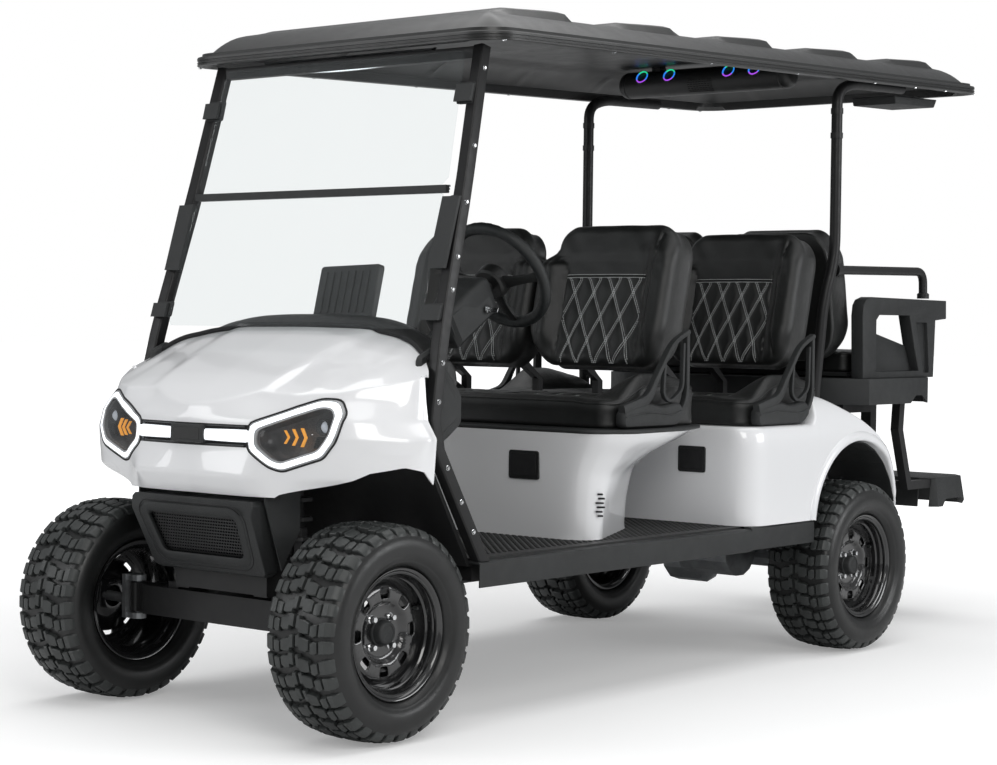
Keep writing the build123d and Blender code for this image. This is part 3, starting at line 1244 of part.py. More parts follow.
def step_ring(inset, top, z):
    """Plan corners of the step's upper or lower edge, drawn in by inset."""
    back = TAIL_Y
    front = back - STEP_DEPTH
    half = STEP_HALF_WIDTH - inset
    if top:
        plan = [(0, front + 8 + inset), (half - 60, front + 8 + inset), (half - 14, front + 50),
                (half - 14, back - 60), (half - 60, back - 16 - inset), (0, back - 16 - inset)]
    else:
        plan = [(0, front + inset), (half - 50, front + inset), (half, front + 44),
                (half, back - 50), (half - 50, back - inset), (0, back - inset)]
    return [(x, y, z) for x, y in mirrored_outline(plan)]


def footstep():
    """Moulded step carried by bars from two legs below the tray."""
    rear = TAIL_Y
    front = rear - STEP_DEPTH
    low = STEP_TOP_Z - STEP_HEIGHT
    half = STEP_HALF_WIDTH
    step = skin([step_ring(0, False, low), step_ring(0, True, STEP_TOP_Z)])
    step -= skin([step_ring(PANEL_GAUGE, False, low - 1),
                  step_ring(PANEL_GAUGE, True, STEP_TOP_Z - PANEL_GAUGE)])
    scoop_y = (front + rear) / 2 + 20
    for side in (-1, 1):
        step -= block((side * LEG_X - 17, side * LEG_X + 17), (front - 1, front + 60),
                      (low - 1, STEP_TOP_Z - PANEL_GAUGE))
    step -= side_plate([(scoop_y - 90, low - 1), (scoop_y - 60, low + 26), (scoop_y + 60, low + 26),
                        (scoop_y + 100, low - 1)], (-half - 5, half + 5))
    save("footstep", step)
    bar_top = STEP_TOP_Z - PANEL_GAUGE - 1
    bar = 30.0
    leg_foot = front - 130
    legs = None
    for side in (-1, 1):
        x = side * LEG_X
        leg = side_plate([(TRAY_REAR_Y - 50, TRAY_TOP_Z - TRAY_HEIGHT - 1),
                          (TRAY_REAR_Y - 16, TRAY_TOP_Z - TRAY_HEIGHT - 1),
                          (TRAY_REAR_Y - 26, 700), (leg_foot + 34, bar_top - bar),
                          (leg_foot, bar_top - bar), (TRAY_REAR_Y - 60, 700)],
                         (x - 16, x + 16))
        leg += block((x - 16, x + 16), (leg_foot, rear - 66), (bar_top - bar, bar_top))
        inner = sorted((x, side * (RAIL_X - 20)))
        leg += block(inner, (leg_foot, leg_foot + 30), (bar_top - bar, bar_top))
        leg += block(sorted((side * (RAIL_X - 20), side * (RAIL_X + 20))), (leg_foot, leg_foot + 30),
                     (FLOOR_BOTTOM_Z, bar_top - bar + 1))
        legs = leg if legs is None else legs + leg
    low_rail, high_rail = frame_z()
    y0 = RAIL_REAR_Y
    inner_x = RAIL_X - RAIL_WIDTH / 2
    hitch = block((-inner_x, inner_x), (y0 - 50, y0 - 4), (low_rail + 10, high_rail - 10))
    tongue = block((-40, 40), (y0 - 6, y0 + 90), (low_rail + 30, low_rail + 44))
    tongue -= Pos(0, y0 + 60, low_rail + 37) * Cylinder(HITCH_PIN_RADIUS, 40)
    save("hitch", hitch + tongue)
    return legs


def battery():
    """Sealed battery block under the front bench."""
    save("battery_pack", block((-218, 218), (915, 1225), (MAT_Z, 684)))


def main():
    """Build and write every piece."""
    wheels()
    front_axle()
    save("knuckle_left", knuckle(1))
    save("knuckle_right", knuckle(-1))
    tie_rod()
    suspension()
    rear_axle()
    chassis()
    floor()
    front_body()
    nose_liners = bumper()
    front_struts()
    windshield()
    roof()
    rear_struts()
    sound_bar()
    dashboard()
    steering()
    front_pod()
    save("wheel_well_liners", nose_liners + rear_body())
    seats()
    seat_frames()
    armrests()
    posts = rear_tray()
    rear_arms()
    save("rear_frame", posts + footstep())
    battery()


if __name__ == "__main__":
    main()
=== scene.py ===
import json
import math

import bmesh
import bpy
from mathutils import Matrix, Vector


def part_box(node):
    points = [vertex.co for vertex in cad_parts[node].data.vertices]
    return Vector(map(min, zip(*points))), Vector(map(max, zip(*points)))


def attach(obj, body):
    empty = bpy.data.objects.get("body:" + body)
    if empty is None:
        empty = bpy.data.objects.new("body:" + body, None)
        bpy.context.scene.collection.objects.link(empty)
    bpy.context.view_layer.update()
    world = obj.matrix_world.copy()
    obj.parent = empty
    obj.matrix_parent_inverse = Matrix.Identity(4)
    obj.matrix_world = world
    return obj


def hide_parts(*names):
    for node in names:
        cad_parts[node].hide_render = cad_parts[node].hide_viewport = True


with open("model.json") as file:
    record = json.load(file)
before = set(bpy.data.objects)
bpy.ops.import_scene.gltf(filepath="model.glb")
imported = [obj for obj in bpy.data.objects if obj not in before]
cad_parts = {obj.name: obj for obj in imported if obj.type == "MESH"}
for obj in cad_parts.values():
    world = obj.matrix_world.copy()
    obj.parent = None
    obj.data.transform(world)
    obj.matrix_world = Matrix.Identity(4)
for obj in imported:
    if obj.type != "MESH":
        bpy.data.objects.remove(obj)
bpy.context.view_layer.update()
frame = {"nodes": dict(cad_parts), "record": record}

NODES = frame["nodes"]
NODE_SLOTS = {row["node"]: row["material_slot"] for row in frame["record"]["subparts"]}

# ------------------------------------------------------------------ measures, in mm
# y runs rearward from the front axle, as in the part's own drawing.
AXLE_STATION = 1506.0
WHEELBASE = 2230.0
AXLE_Z = TYRE_RADIUS = 279.0
WHEELS = (
    # name, x of the centre plane, y, side
    ("front_left", 487.0, 0.0, 1), ("front_right", -487.0, 0.0, -1),
    ("rear_left", 520.0, WHEELBASE, 1), ("rear_right", -520.0, WHEELBASE, -1))
SIDES = ((1, "left"), (-1, "right"))
ROW_PITCH = 700.0
FULL_TURN = 2 * math.pi


def at(x, y, z):
    """A place given in mm from the front axle, in the scene's metres."""
    return Vector((x / 1000, (y - AXLE_STATION) / 1000, z / 1000))


def station(x, y, z):
    """The matrix that takes a piece drawn in mm about its own origin to a place on the cart."""
    return Matrix.Translation(at(x, y, z)) @ MILLIMETRE


def moved(x, y, z):
    """The matrix of a plain shift."""
    return Matrix.Translation((x, y, z))


def swung(degrees, axis="X"):
    """The matrix of a turn about an axis."""
    return Matrix.Rotation(math.radians(degrees), 4, axis)


MILLIMETRE = Matrix.Scale(0.001, 4)
CART = station(0, 0, 0)


# ------------------------------------------------------------------ numbers and outlines
def ramp(low, high, value):
    """Smooth step from 0 at low to 1 at high."""
    t = min(max((value - low) / (high - low), 0.0), 1.0)
    return t * t * (3 - 2 * t)


def groove(distance, width):
    """Depth share of a sewn channel at a distance from its line."""
    return math.exp(-(distance / width) ** 2)


def evenly(low, high, count):
    """Equal steps from low to high, both ends included."""
    return [low + (high - low) * k / count for k in range(count + 1)]


def row_at(table, value, eased=False):
    """The columns of a table at a value of its first column."""
    if value <= table[0][0]:
        return table[0][1:]
    for low, high in zip(table, table[1:]):
        if value <= high[0]:
            t = (value - low[0]) / (high[0] - low[0])
            t = ramp(0, 1, t) if eased else t
            return [a + (b - a) * t for a, b in zip(low[1:], high[1:])]
    return table[-1][1:]


def between(table, value):
    """Straight-line reading of a table of pairs."""
    return row_at(table, value)[0]


def bisected(low, high, rounds, below):
    """The value at which a test stops holding."""
    for _ in range(rounds):
        middle = (low + high) / 2
        low, high = (middle, high) if below(middle) else (low, middle)
    return low


def unit(v):
    return v.normalized() if v.length > 1e-9 else v * 0


def corners(loop):
    """Each point of a closed run with the one before and the one after it."""
    path = [Vector(p) for p in loop]
    return list(zip(path[-1:] + path[:-1], path, path[1:] + path[:1]))


def sense(outline):
    """1 for a plane outline that runs counter-clockwise, -1 for the other way."""
    return 1 if sum(a.x * b.y - b.x * a.y for a, b, _ in corners(outline)) > 0 else -1


def arc(before, here, after, radius, steps, share=0.45):
    """The points of one rounded corner."""
    back, ahead = before - here, after - here
    cut = min(radius, back.length * share, ahead.length * share)
    start, end = here + back.normalized() * cut, here + ahead.normalized() * cut
    return [start * (1 - t) ** 2 + here * 2 * t * (1 - t) + end * t ** 2
            for t in evenly(0, 1, steps)]


def rounded(outline, radius, steps=4):
    """A plane outline with its corners rounded."""
    return [tuple(p) for corner in corners(outline) for p in arc(*corner, radius, steps)]


def rect(x0, z0, x1, z1, radius=0, steps=4):
    """A rectangle's outline, with rounded corners if it has a radius."""
    outline = [(x0, z0), (x1, z0), (x1, z1), (x0, z1)]
    return rounded(outline, radius, steps) if radius else outline


def grown(outline, amount):
    """A convex plane outline moved outward, or inward with a negative amount."""
    out, turn = [], sense(outline)
    for before, here, after in corners(outline):
        sides = [Vector((d.y, -d.x)) * turn
                 for d in ((here - before).normalized(), (after - here).normalized())]
        n = sides[0] + sides[1]
        out.append(tuple(here + n * (amount / max(n.dot(sides[0]), 0.3))))
    return out


def met(outline, centre, aim):
    """The nearest point of an outline on a ray from a centre."""
    best = None
    for _, p, q in corners(outline):
        p, edge = p - centre, q - p
        det = aim.x * -edge.y + edge.x * aim.y
        if abs(det) > 1e-9:
            t = (p.x * -edge.y + edge.x * p.y) / det
            s = (aim.x * p.y - aim.y * p.x) / det
            if t > 0 and -1e-6 <= s <= 1 + 1e-6 and (best is None or t < best):
                best = t
    return centre + aim * best


def bend(points, radius, steps=6):
    """A run of points with its inner corners rounded."""
    path = [Vector(p) for p in points]
    inner = [arc(*three, radius, steps, 0.48) for three in zip(path, path[1:], path[2:])]
    return [path[0]] + [p for run in inner for p in run] + [path[-1]]


# ------------------------------------------------------------------ forms
class Form:
    """Collects the faces of one piece."""

    def __init__(self, verts=(), faces=()):
        self.verts, self.faces = [], []
        self.add(verts, faces)

    def add(self, verts, faces):
        start = len(self.verts)
        self.verts += [Vector(v) for v in verts]
        self.faces += [tuple(i + start for i in f) for f in faces]
        return self

    def merge(self, other, place=Matrix.Identity(4)):
        return self.add([place @ v for v in other.verts], other.faces)

    def mirrored(self):
        """The same form with its copy on the other side of the cart's middle plane."""
        return self.merge(Form(self.verts, self.faces), Matrix.Diagonal((-1, 1, 1, 1)))

    def make(self, name, material, sharp=35.0, place=CART, body="cart", node=None, slot=None):
        """The form as a finished piece: doubles merged, faces outward, edges kept crisp."""
        def work(form):
            form.transform(place)
            bmesh.ops.remove_doubles(form, verts=form.verts, dist=2e-6)
            bmesh.ops.recalc_face_normals(form, faces=form.faces)
            dress(form, sharp)

        return settle(worked(raw(name, self.verts, self.faces), work), material, body, node, slot)


def copies(form, places):
    """One form set in many places."""
    out = Form()
    for place in places:
        out.merge(form, place)
    return out


def raw(name, verts, faces, place=Matrix.Identity(4), edges=()):
    """A mesh object with no finish."""
    mesh = bpy.data.meshes.new(name)
    mesh.from_pydata([tuple(place @ v) for v in verts], list(edges), faces)
    return linked(name, mesh)


def linked(name, data):
    """A new object in the scene."""
    obj = bpy.data.objects.new(name, data)
    bpy.context.scene.collection.objects.link(obj)
    return obj


def worked(obj, work):
    """Change a piece's mesh through its BMesh."""
    form = bmesh.new()
    form.from_mesh(obj.data)
    work(form)
    form.to_mesh(obj.data)
    form.free()
    return obj


def baked(obj, sharp):
    """Keep what a piece's modifiers make of it as its plain mesh."""
    bpy.context.view_layer.update()
    state = bpy.context.evaluated_depsgraph_get()
    old, obj.data = obj.data, bpy.data.meshes.new_from_object(obj.evaluated_get(state))
    obj.modifiers.clear()
    bpy.data.meshes.remove(old)
    return worked(obj, lambda form: dress(form, sharp))


def dress(form, sharp):
    """Smooth shading with the sharp edges marked."""
    for face in form.faces:
        face.smooth = True
    for edge in form.edges:
        edge.smooth = len(edge.link_faces) == 2 and edge.calc_face_angle(0.0) < math.radians(sharp)


def settle(obj, material, body="cart", node=None, slot=None):
    """Give a piece its material and its body, and hide the solid it stands for; its finish slot is
    looked up but not kept.
    """
    obj.data.materials.clear()
    obj.data.materials.append(material)
    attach(obj, body)
    slot or PIECE_SLOTS[material.name]
    if node:
        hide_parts(node)
    return obj


def loft(rings, closed=True, caps=True):
    """Faces through a list of rings with the same number of points."""
    count = len(rings[0])
    faces = []
    for start in range(0, (len(rings) - 1) * count, count):
        for i in range(count if closed else count - 1):
            a, b = start + i, start + (i + 1) % count
            faces.append((a, b, b + count, a + count))
    if caps:
        faces.append(tuple(range(count))[::-1])
        faces.append(tuple(range((len(rings) - 1) * count, len(rings) * count)))
    return Form([p for ring in rings for p in ring], faces)


def set_on(axis, level, p, q):
    """A point of a plate whose outline lies across an axis."""
    return {"z": (p, q, level), "y": (p, level, q), "x": (level, p, q)}[axis]


def slab(outline, low, high, bevel, axis="z"):
    """A plate from a plane outline between two levels, with a bevelled edge all round."""
    turn = sense(outline)
    edge = min(bevel, abs(high - low) * 0.49)
    rings = []
    for level, draw in ((low, edge), (low + edge, 0), (high - edge, 0), (high, edge)):
        ring = []
        for before, here, after in corners(outline):
            run = (here - before).normalized() + (after - here).normalized()
            normal = Vector((run.y, -run.x)) if run.length > 1e-6 else Vector((1, 0))
            ring.append(set_on(axis, level, *(here - normal.normalized() * draw * turn)))
        rings.append(ring)
    return loft(rings)


def turned(profile, steps=48, axis="x"):
    """A closed ring turned about an axis from (along, radius) points."""
    verts, row = [], len(profile)
    total = row * steps
    for a in evenly(0, FULL_TURN, steps)[:-1]:
        c, s = (math.sin(a), math.cos(a)) if axis == "y" else (math.cos(a), math.sin(a))
        verts += [set_on(axis, u, r * c, r * s) for u, r in profile]
    return Form(verts, [(i, i + 1, (i + 1 + row) % total, (i + row) % total)
                        for i in range(total) if (i + 1) % row])


def rod(points, radius, sides=10, caps=True):
    """A round bar along a list of points."""
    path = [Vector(p) for p in points]
    legs = [unit(b - a) for a, b in zip(path, path[1:])]
    rings, lean = [], None
    for here, before, after in zip(path, legs[:1] + legs, legs + legs[-1:]):
        along = (before + after).normalized()
        lean = along.orthogonal() if lean is None else lean - along * lean.dot(along)
        lean.normalize()
        other = along.cross(lean)
        rings.append([here + (lean * math.cos(a) + other * math.sin(a)) * radius
                      for a in evenly(0, FULL_TURN, sides)[:-1]])
    return loft(rings, caps=caps)


def skin(grid):
    """One skin through a grid of points."""
    wide = len(grid[0])
    faces = [(a, a + 1, a + wide + 1, a + wide) for r in range(len(grid) - 1)
             for a in range(r * wide, r * wide + wide - 1)]
    return Form([p for row in grid for p in row], faces)


def rim(grid):
    """The points round a grid's edge."""
    return (grid[0] + [row[-1] for row in grid[1:]] + grid[-1][-2::-1]
            + [row[0] for row in grid[-2:0:-1]])


def closed_sheet(top, under, levels=()):
    """Two skins with rings between their edges: each level is a height, a share and an inset."""
    edge = rim(top)
    rings = [edge]
    for height, share, inset in levels:
        ring = []
        for before, here, after in corners(edge):
            out = unit(Vector((after.y - before.y, before.x - after.x, 0)))
            z = here.z + (height - here.z) * share
            ring.append(Vector((here.x, here.y, z)) - out * inset)
        rings.append(ring)
    form = skin(top)
    if under:
        form.merge(skin([row[::-1] for row in under]))
        rings.append(rim(under))
    else:
        form.add(rings[-1], [tuple(range(len(edge)))[::-1]])
    return form.merge(loft(rings, caps=False))


def shell(grid, gauge=4.0):
    """A closed sheet of even gauge behind a grid of points."""
    tall, wide = len(grid) - 1, len(grid[0]) - 1
    inner = [[p - unit((row[min(c + 1, wide)] - row[max(c - 1, 0)]).cross(
        grid[min(r + 1, tall)][c] - grid[max(r - 1, 0)][c])) * gauge
        for c, p in enumerate(row)] for r, row in enumerate(grid)]
    return closed_sheet(grid, inner)


def eased_grid(grid, rounds):
    """Soften a grid's creases; its outermost lines stay."""
    for _ in range(rounds):
        fresh = [list(row) for row in grid]
        for r in range(1, len(grid) - 1):
            for c in range(1, len(grid[0]) - 1):
                mean = (grid[r - 1][c] + grid[r + 1][c] + grid[r][c - 1] + grid[r][c + 1]) / 4
                fresh[r][c] = grid[r][c] * 0.5 + mean * 0.5
        grid = fresh
    return grid


def carve(obj, cutter, sharp):
    """Cut one piece with a form drawn in the cart's millimetres."""
    tool = rough_piece("cutter", cutter, CART)
    cut = obj.modifiers.new("cut", "BOOLEAN")
    cut.operation, cut.solver, cut.object = "DIFFERENCE", "EXACT", tool
    baked(obj, sharp)
    bpy.data.objects.remove(tool)


def bolt_head(radius, height, sides=6):
    """A bolt head with a washer face, standing along z."""
    washer = turned([(0, radius * 1.35), (height * 0.25, radius * 1.35),
                     (height * 0.3, radius * 1.2)], 20, "z")
    return washer.merge(turned([(height * 0.3, radius), (height * 0.85, radius),
                                (height, radius * 0.78), (height * 1.02, 0.01)], sides, "z"))


def facing(place, along):
    """A matrix that stands a piece drawn along z at a place in mm, pointing along a direction."""
    return moved(*place) @ Vector(along).to_track_quat("Z", "Y").to_matrix().to_4x4()


# ------------------------------------------------------------------ node trees
def graph(tree):
    """A function that adds nodes: each input takes a value, or the node or socket before it."""
    def add(kind, inputs=(), **settings):
        node = tree.nodes.new(kind if "Node" in kind else "ShaderNode" + kind)
        for key, value in settings.items():
            setattr(node, key, value)
        for key, value in dict(inputs).items():
            socket = node.inputs[key]
            if isinstance(value, bpy.types.Node):
                value = value.outputs[0]
            if isinstance(value, bpy.types.NodeSocket):
                tree.links.new(value, socket)
            else:
                socket.default_value = (*value, 1) if socket.type == "RGBA" else value
        return node
    return add


def maths(add, operation, first, second=0.0):
    return add("Math", {0: first, 1: second}, operation=operation)


def piece_tree(name, sizes, lay, material):
    """A tree that sets pieces on points and coats them; lay says where and what they are."""
    tree = bpy.data.node_groups.new(name, "GeometryNodeTree")
    for label, kind, way in (("Geometry", "Geometry", "INPUT"),
                             *((label, kind, "INPUT") for label, kind in sizes),
                             ("Geometry", "Geometry", "OUTPUT")):
        tree.interface.new_socket(label, in_out=way, socket_type="NodeSocket" + kind)
    add = graph(tree)
    given = {socket.name: socket for socket in add("NodeGroupInput").outputs}
    solid = add("GeometryNodeRealizeInstances",
                {0: add("GeometryNodeInstanceOnPoints", lay(add, given))})
    if "Centre" in given:
        solid = add("GeometryNodeTransform", {"Geometry": solid, "Translation": given["Centre"]})
    coat = add("GeometryNodeSetMaterial", {"Geometry": solid, "Material": material})
    add("NodeGroupOutput", {0: coat})
    return tree


def ring_tree(material):
    """Repeats the incoming piece round the X axis, then moves the ring to its place."""
    def lay(add, given):
        share = maths(add, "DIVIDE", add("GeometryNodeInputIndex"), given["Count"])
        angle = add("Math", {0: share, 1: FULL_TURN, 2: given["Start"]}, operation="MULTIPLY_ADD")
        return {"Points": add("GeometryNodePoints", {"Count": given["Count"]}),
                "Instance": given["Geometry"], "Rotation": add("CombineXYZ", {"X": angle})}

    return piece_tree("ring_of_pieces", (("Count", "Int"), ("Start", "Float"),
                                         ("Centre", "Vector")), lay, material)


def row_tree(material):
    """Repeats the incoming piece in a row or a grid of equal steps."""
    def lay(add, given):
        columns, index = given["Columns"], add("GeometryNodeInputIndex")
        row = maths(add, "FLOOR", maths(add, "DIVIDE", maths(add, "ADD", index, 0.01), columns))
        odd = maths(add, "MULTIPLY", maths(add, "MODULO", row, 2.0), given["Stagger"])
        column = maths(add, "ADD", maths(add, "MODULO", index, columns), odd)
        steps = [add("VectorMath", {0: given[step], "Scale": times}, operation="SCALE")
                 for step, times in (("Column step", column), ("Row step", row))]
        place = add("VectorMath", enumerate(steps), operation="ADD")
        total = maths(add, "MULTIPLY", columns, given["Rows"])
        points = add("GeometryNodePoints", {"Count": total})
        return {"Points": add("GeometryNodeSetPosition", {"Geometry": points, "Position": place}),
                "Instance": given["Geometry"]}

    return piece_tree("grid_of_pieces", (
        ("Columns", "Int"), ("Rows", "Int"), ("Column step", "Vector"), ("Row step", "Vector"),
        ("Stagger", "Float")), lay, material)


def stitch_tree(material):
    """Lays short thread stitches along every edge chain of the incoming wire."""
    def lay(add, given):
        curve = add("GeometryNodeMeshToCurve", {"Mesh": given["Geometry"]})
        spaced = add("GeometryNodeCurveToPoints", {"Curve": curve, "Length": given["Pitch"]},
                     mode="LENGTH")
        thread = add("GeometryNodeMeshCylinder", {"Vertices": 6, "Depth": given["Length"],
                                                  "Radius": given["Thread radius"]})
        return {"Points": spaced, "Instance": thread, "Rotation": spaced.outputs["Rotation"]}

    return piece_tree("stitch_line", (("Pitch", "Float"), ("Length", "Float"),
                                      ("Thread radius", "Float")), lay, material)


def rough_piece(name, form, place=Matrix.Identity(4)):
    """An unfinished mesh object for a node tree or a cut to work on."""
    obj = raw(name, form.verts, form.faces, place)
    return worked(obj, lambda mesh: bmesh.ops.recalc_face_normals(mesh, faces=mesh.faces))


def grow(obj, tree, values, material, sharp, body="cart", node=None):
    """Run a tree on a piece, keep its result as a plain mesh, and settle it."""
    modifier = obj.modifiers.new(tree.name, "NODES")
    modifier.node_group = tree
    for item in tree.interface.items_tree:
        if item.in_out == "INPUT" and item.name in values:
            modifier[item.identifier] = values[item.name]
    return settle(baked(obj, sharp), material, body, node)


def shift_mesh(obj, move):
    for vert in obj.data.vertices:
        vert.co += move


# ------------------------------------------------------------------ materials
PIECE_SLOTS, SLOTS = {}, {}


def shader(name, slot=None):
    """A new material with an empty tree; the first one made for a slot dresses its solids."""
    mat = bpy.data.materials.new(name)
    mat.use_nodes = True
    mat.node_tree.nodes.clear()
    PIECE_SLOTS[mat.name] = slot
    SLOTS.setdefault(slot, mat)
    return mat, graph(mat.node_tree)


def noise(add, scale, detail=4.0):
    """Noise on the object's own coordinates, in metres."""
    return add("TexNoise", {"Scale": scale, "Detail": detail,
                            "Vector": add("TexCoord").outputs["Object"]})


def ranged(add, value, low, high):
    """Map a 0.3 to 0.7 value on to a range."""
    return add("MapRange", {"From Min": 0.3, "From Max": 0.7, "To Min": low, "To Max": high,
                            "Value": value})


def mixed(add, first, second, share):
    """A colour between two."""
    return add("Mix", {"A": first, "B": second, "Factor": share},
               data_type="RGBA").outputs["Result"]


def finish(name, slot, colour, rough, grain, mottle, cells=False, metal=0.0, coat=0.0,
           coat_rough=0.03, wear=0.0, sheen=0.0, second=None, shine=0.5, patchy=0.14):
    """A solid finish: its colour wanders a little, its grain is a bump, its edges wear pale."""
    mat, add = shader(name, slot)
    tint = mixed(add, [c * (1 - mottle[1]) for c in colour],
                 [min(c * (1 + mottle[1]), 1.0) for c in colour],
                 ranged(add, noise(add, mottle[0], 5.0), 0.0, 1.0))
    if wear:
        edge = add("MapRange", {"From Min": 0.52, "From Max": 0.62, "To Max": wear,
                                "Value": add("NewGeometry").outputs["Pointiness"]})
        tint = mixed(add, tint, [min(c * 2.2 + 0.05, 1) for c in colour], edge)
    if cells:
        height = add("TexVoronoi", {"Scale": grain[0], "Vector": add("TexCoord").outputs["Object"]})
    else:
        height = noise(add, grain[0], 3.0)
    bump = add("Bump", {"Strength": grain[1], "Distance": 0.001, "Height": height})
    if second:
        bump = add("Bump", {"Strength": second[1], "Distance": 0.002, "Normal": bump,
                            "Height": noise(add, second[0])})
    inputs = {"Base Color": tint, "Metallic": metal, "Coat Weight": coat, "Normal": bump,
              "Coat Roughness": coat_rough, "Specular IOR Level": shine,
              "Roughness": ranged(add, noise(add, mottle[0] * 5, 6.0), rough * (1 - patchy),
                                  min(rough * (1 + patchy), 1))}
    if sheen:
        inputs.update({"Sheen Weight": sheen, "Sheen Roughness": 0.4})
    add("OutputMaterial", {"Surface": add("BsdfPrincipled", inputs)})
    return mat


def clear(name, slot, tint, gloss, haze, rough):
    """A clear or smoked pane with a reflection that grows towards its edges, and faint smears."""
    mat, add = shader(name, slot)
    shine = add("BsdfGlossy", {"Roughness": ranged(add, noise(add, 9.0, 6.0), rough * 0.6,
                                                   rough * 1.8)})
    steep = maths(add, "POWER", add("LayerWeight", {"Blend": 0.5}).outputs["Facing"], 4.0)
    share = add("Math", {0: steep, 1: gloss * 0.7, 2: gloss * 0.03}, operation="MULTIPLY_ADD")
    clean = add("MixShader", {0: share, 1: add("BsdfTransparent", {"Color": tint}), 2: shine})
    dust = ranged(add, noise(add, 5.0, 7.0), haze * 0.5, haze * 1.4)
    film = add("BsdfDiffuse", {"Color": (0.85, 0.88, 0.9)})
    add("OutputMaterial", {"Surface": add("MixShader", {0: dust, 1: clean, 2: film})})
    return mat


def glow(name, colour, power):
    """A lit plastic light guide whose brightness wanders a little."""
    mat, add = shader(name, "lamp_plastic")
    bump = add("Bump", {"Strength": 0.08, "Distance": 0.001, "Height": noise(add, 160.0, 2.0)})
    add("OutputMaterial", {"Surface": add("BsdfPrincipled", {
        "Base Color": colour, "Roughness": 0.25, "Coat Weight": 0.6, "Emission Color": colour,
        "Emission Strength": ranged(add, noise(add, 14.0, 3.0), power * 0.9, power * 1.1),
        "Normal": bump})})
    return mat


# name, finish slot, colour, roughness, grain (scale, depth), mottle (scale, share)
WHITE = finish("white_gloss_body", "white_paint", (0.86, 0.865, 0.88), 0.30, (30, 0.003),
               (2.5, 0.004), coat=1.0, patchy=0.03)
PLASTIC = finish("dark_moulded_plastic", "dark_plastic", (0.021, 0.0225, 0.023), 0.48,
                 (1500, 0.35), (6, 0.18), True, wear=0.12, shine=0.38)
DASH = finish("dash_plastic", "dark_plastic", (0.009, 0.0095, 0.0095), 0.38, (1300, 0.25),
              (6, 0.2), True)
ROOF = finish("roof_plastic", "roof_plastic", (0.017, 0.0175, 0.0175), 0.38, (900, 0.22),
              (3, 0.15), wear=0.2, coat=0.15, coat_rough=0.25)
LEATHER = finish("black_leather", "black_leather", (0.010, 0.0108, 0.0105), 0.36, (620, 0.45),
                 (18, 0.25), True, sheen=0.06, second=(60.0, 0.25), coat=0.08, coat_rough=0.4)
THREAD = finish("grey_thread", "black_leather", (0.62, 0.64, 0.64), 0.7, (3000, 0.4), (60, 0.2))
RUBBER = finish("tyre_rubber", "tyre", (0.021, 0.0238, 0.0232), 0.44, (420, 0.25), (22, 0.35),
                wear=0.25, second=(40.0, 0.12))
SIDEWALL = finish("sidewall_rubber", "tyre", (0.010, 0.0105, 0.0105), 0.38, (700, 0.15),
                  (18, 0.25), wear=0.1)
WHEEL = finish("gloss_black_wheel", "wheel_paint", (0.006, 0.006, 0.0065), 0.22, (90, 0.04),
               (9, 0.2), coat=1.0)
GRIP = finish("wheel_grip", "wheel_rubber", (0.012, 0.014, 0.0145), 0.42, (1100, 0.35),
              (14, 0.2), True)
MAT = finish("floor_rubber", "floor_rubber", (0.014, 0.0145, 0.0145), 0.55, (800, 0.3),
             (9, 0.3), wear=0.15)
STEEL = finish("black_steel", "frame_steel", (0.009, 0.009, 0.0095), 0.46, (300, 0.10),
               (9, 0.2), coat=0.08, wear=0.15, coat_rough=0.2, shine=0.3)
finish("spring_steel", "spring_steel", (0.03, 0.03, 0.031), 0.42, (400, 0.15), (14, 0.3),
       metal=0.5, wear=0.3)
CAST = finish("cast_alloy", "cast_alloy", (0.30, 0.31, 0.32), 0.5, (260, 0.35), (20, 0.2),
              metal=0.8)
CHROME = finish("bright_steel", "cast_alloy", (0.72, 0.73, 0.74), 0.16, (500, 0.05),
                (40, 0.1), metal=1.0)
finish("battery_case", "battery_case", (0.06, 0.065, 0.07), 0.6, (900, 0.3), (6, 0.2))
SCREEN = finish("display_glass", "display_glass", (0.006, 0.006, 0.008), 0.12, (40, 0.01),
                (8, 0.2), coat=1.0)
BOWL = finish("lamp_bowl", "dark_plastic", (0.085, 0.087, 0.09), 0.32, (700, 0.12), (30, 0.45),
              coat=0.4, coat_rough=0.1)
MIRROR = finish("mirror_glass", "display_glass", (0.60, 0.62, 0.64), 0.06, (20, 0.01),
                (6, 0.05), metal=1.0)
# near-black matte finish: the own colour of gaskets, seals, speaker cones and inset panels, and
# painted shade where it fills the vent slots and the scored line
BLACK_AND_SLOT_SHADE = finish("dark_recess", "dark_plastic", (0.008, 0.008, 0.009), 0.7, (900, 0.2), (8, 0.2))
clear("clear_pane", "clear_pane", (0.95, 0.965, 0.965), 0.55, 0.012, 0.02)
LENS = clear("smoked_lens", "lamp_glass", (0.62, 0.62, 0.63), 0.8, 0.05, 0.03)
LIGHT = glow("white_light_guide", (0.93, 0.96, 1.0), 0.95)
GUIDE_EDGE = finish("light_guide_edge", "lamp_plastic", (0.34, 0.35, 0.36), 0.28, (400, 0.05),
                    (30, 0.12), coat=0.8)
AMBER = glow("amber_light", (1.0, 0.42, 0.04), 0.9)
PROJECTOR = glow("lamp_projector", (0.85, 0.92, 1.0), 0.35)
RINGS = {name: glow("ring_" + name, colour, power) for name, colour, power in (
    ("green", (0.02, 0.75, 0.35), 0.8), ("blue", (0.03, 0.25, 0.95), 0.9),
    ("purple", (0.45, 0.08, 0.9), 0.8))}

# every carried-over solid takes the finish of its slot
SLOTS["dash_plastic"] = DASH
for name, obj in NODES.items():
    if not obj.material_slots:
        obj.data.materials.append(None)
    for holder in obj.material_slots:
        holder.material = SLOTS[NODE_SLOTS[name]]


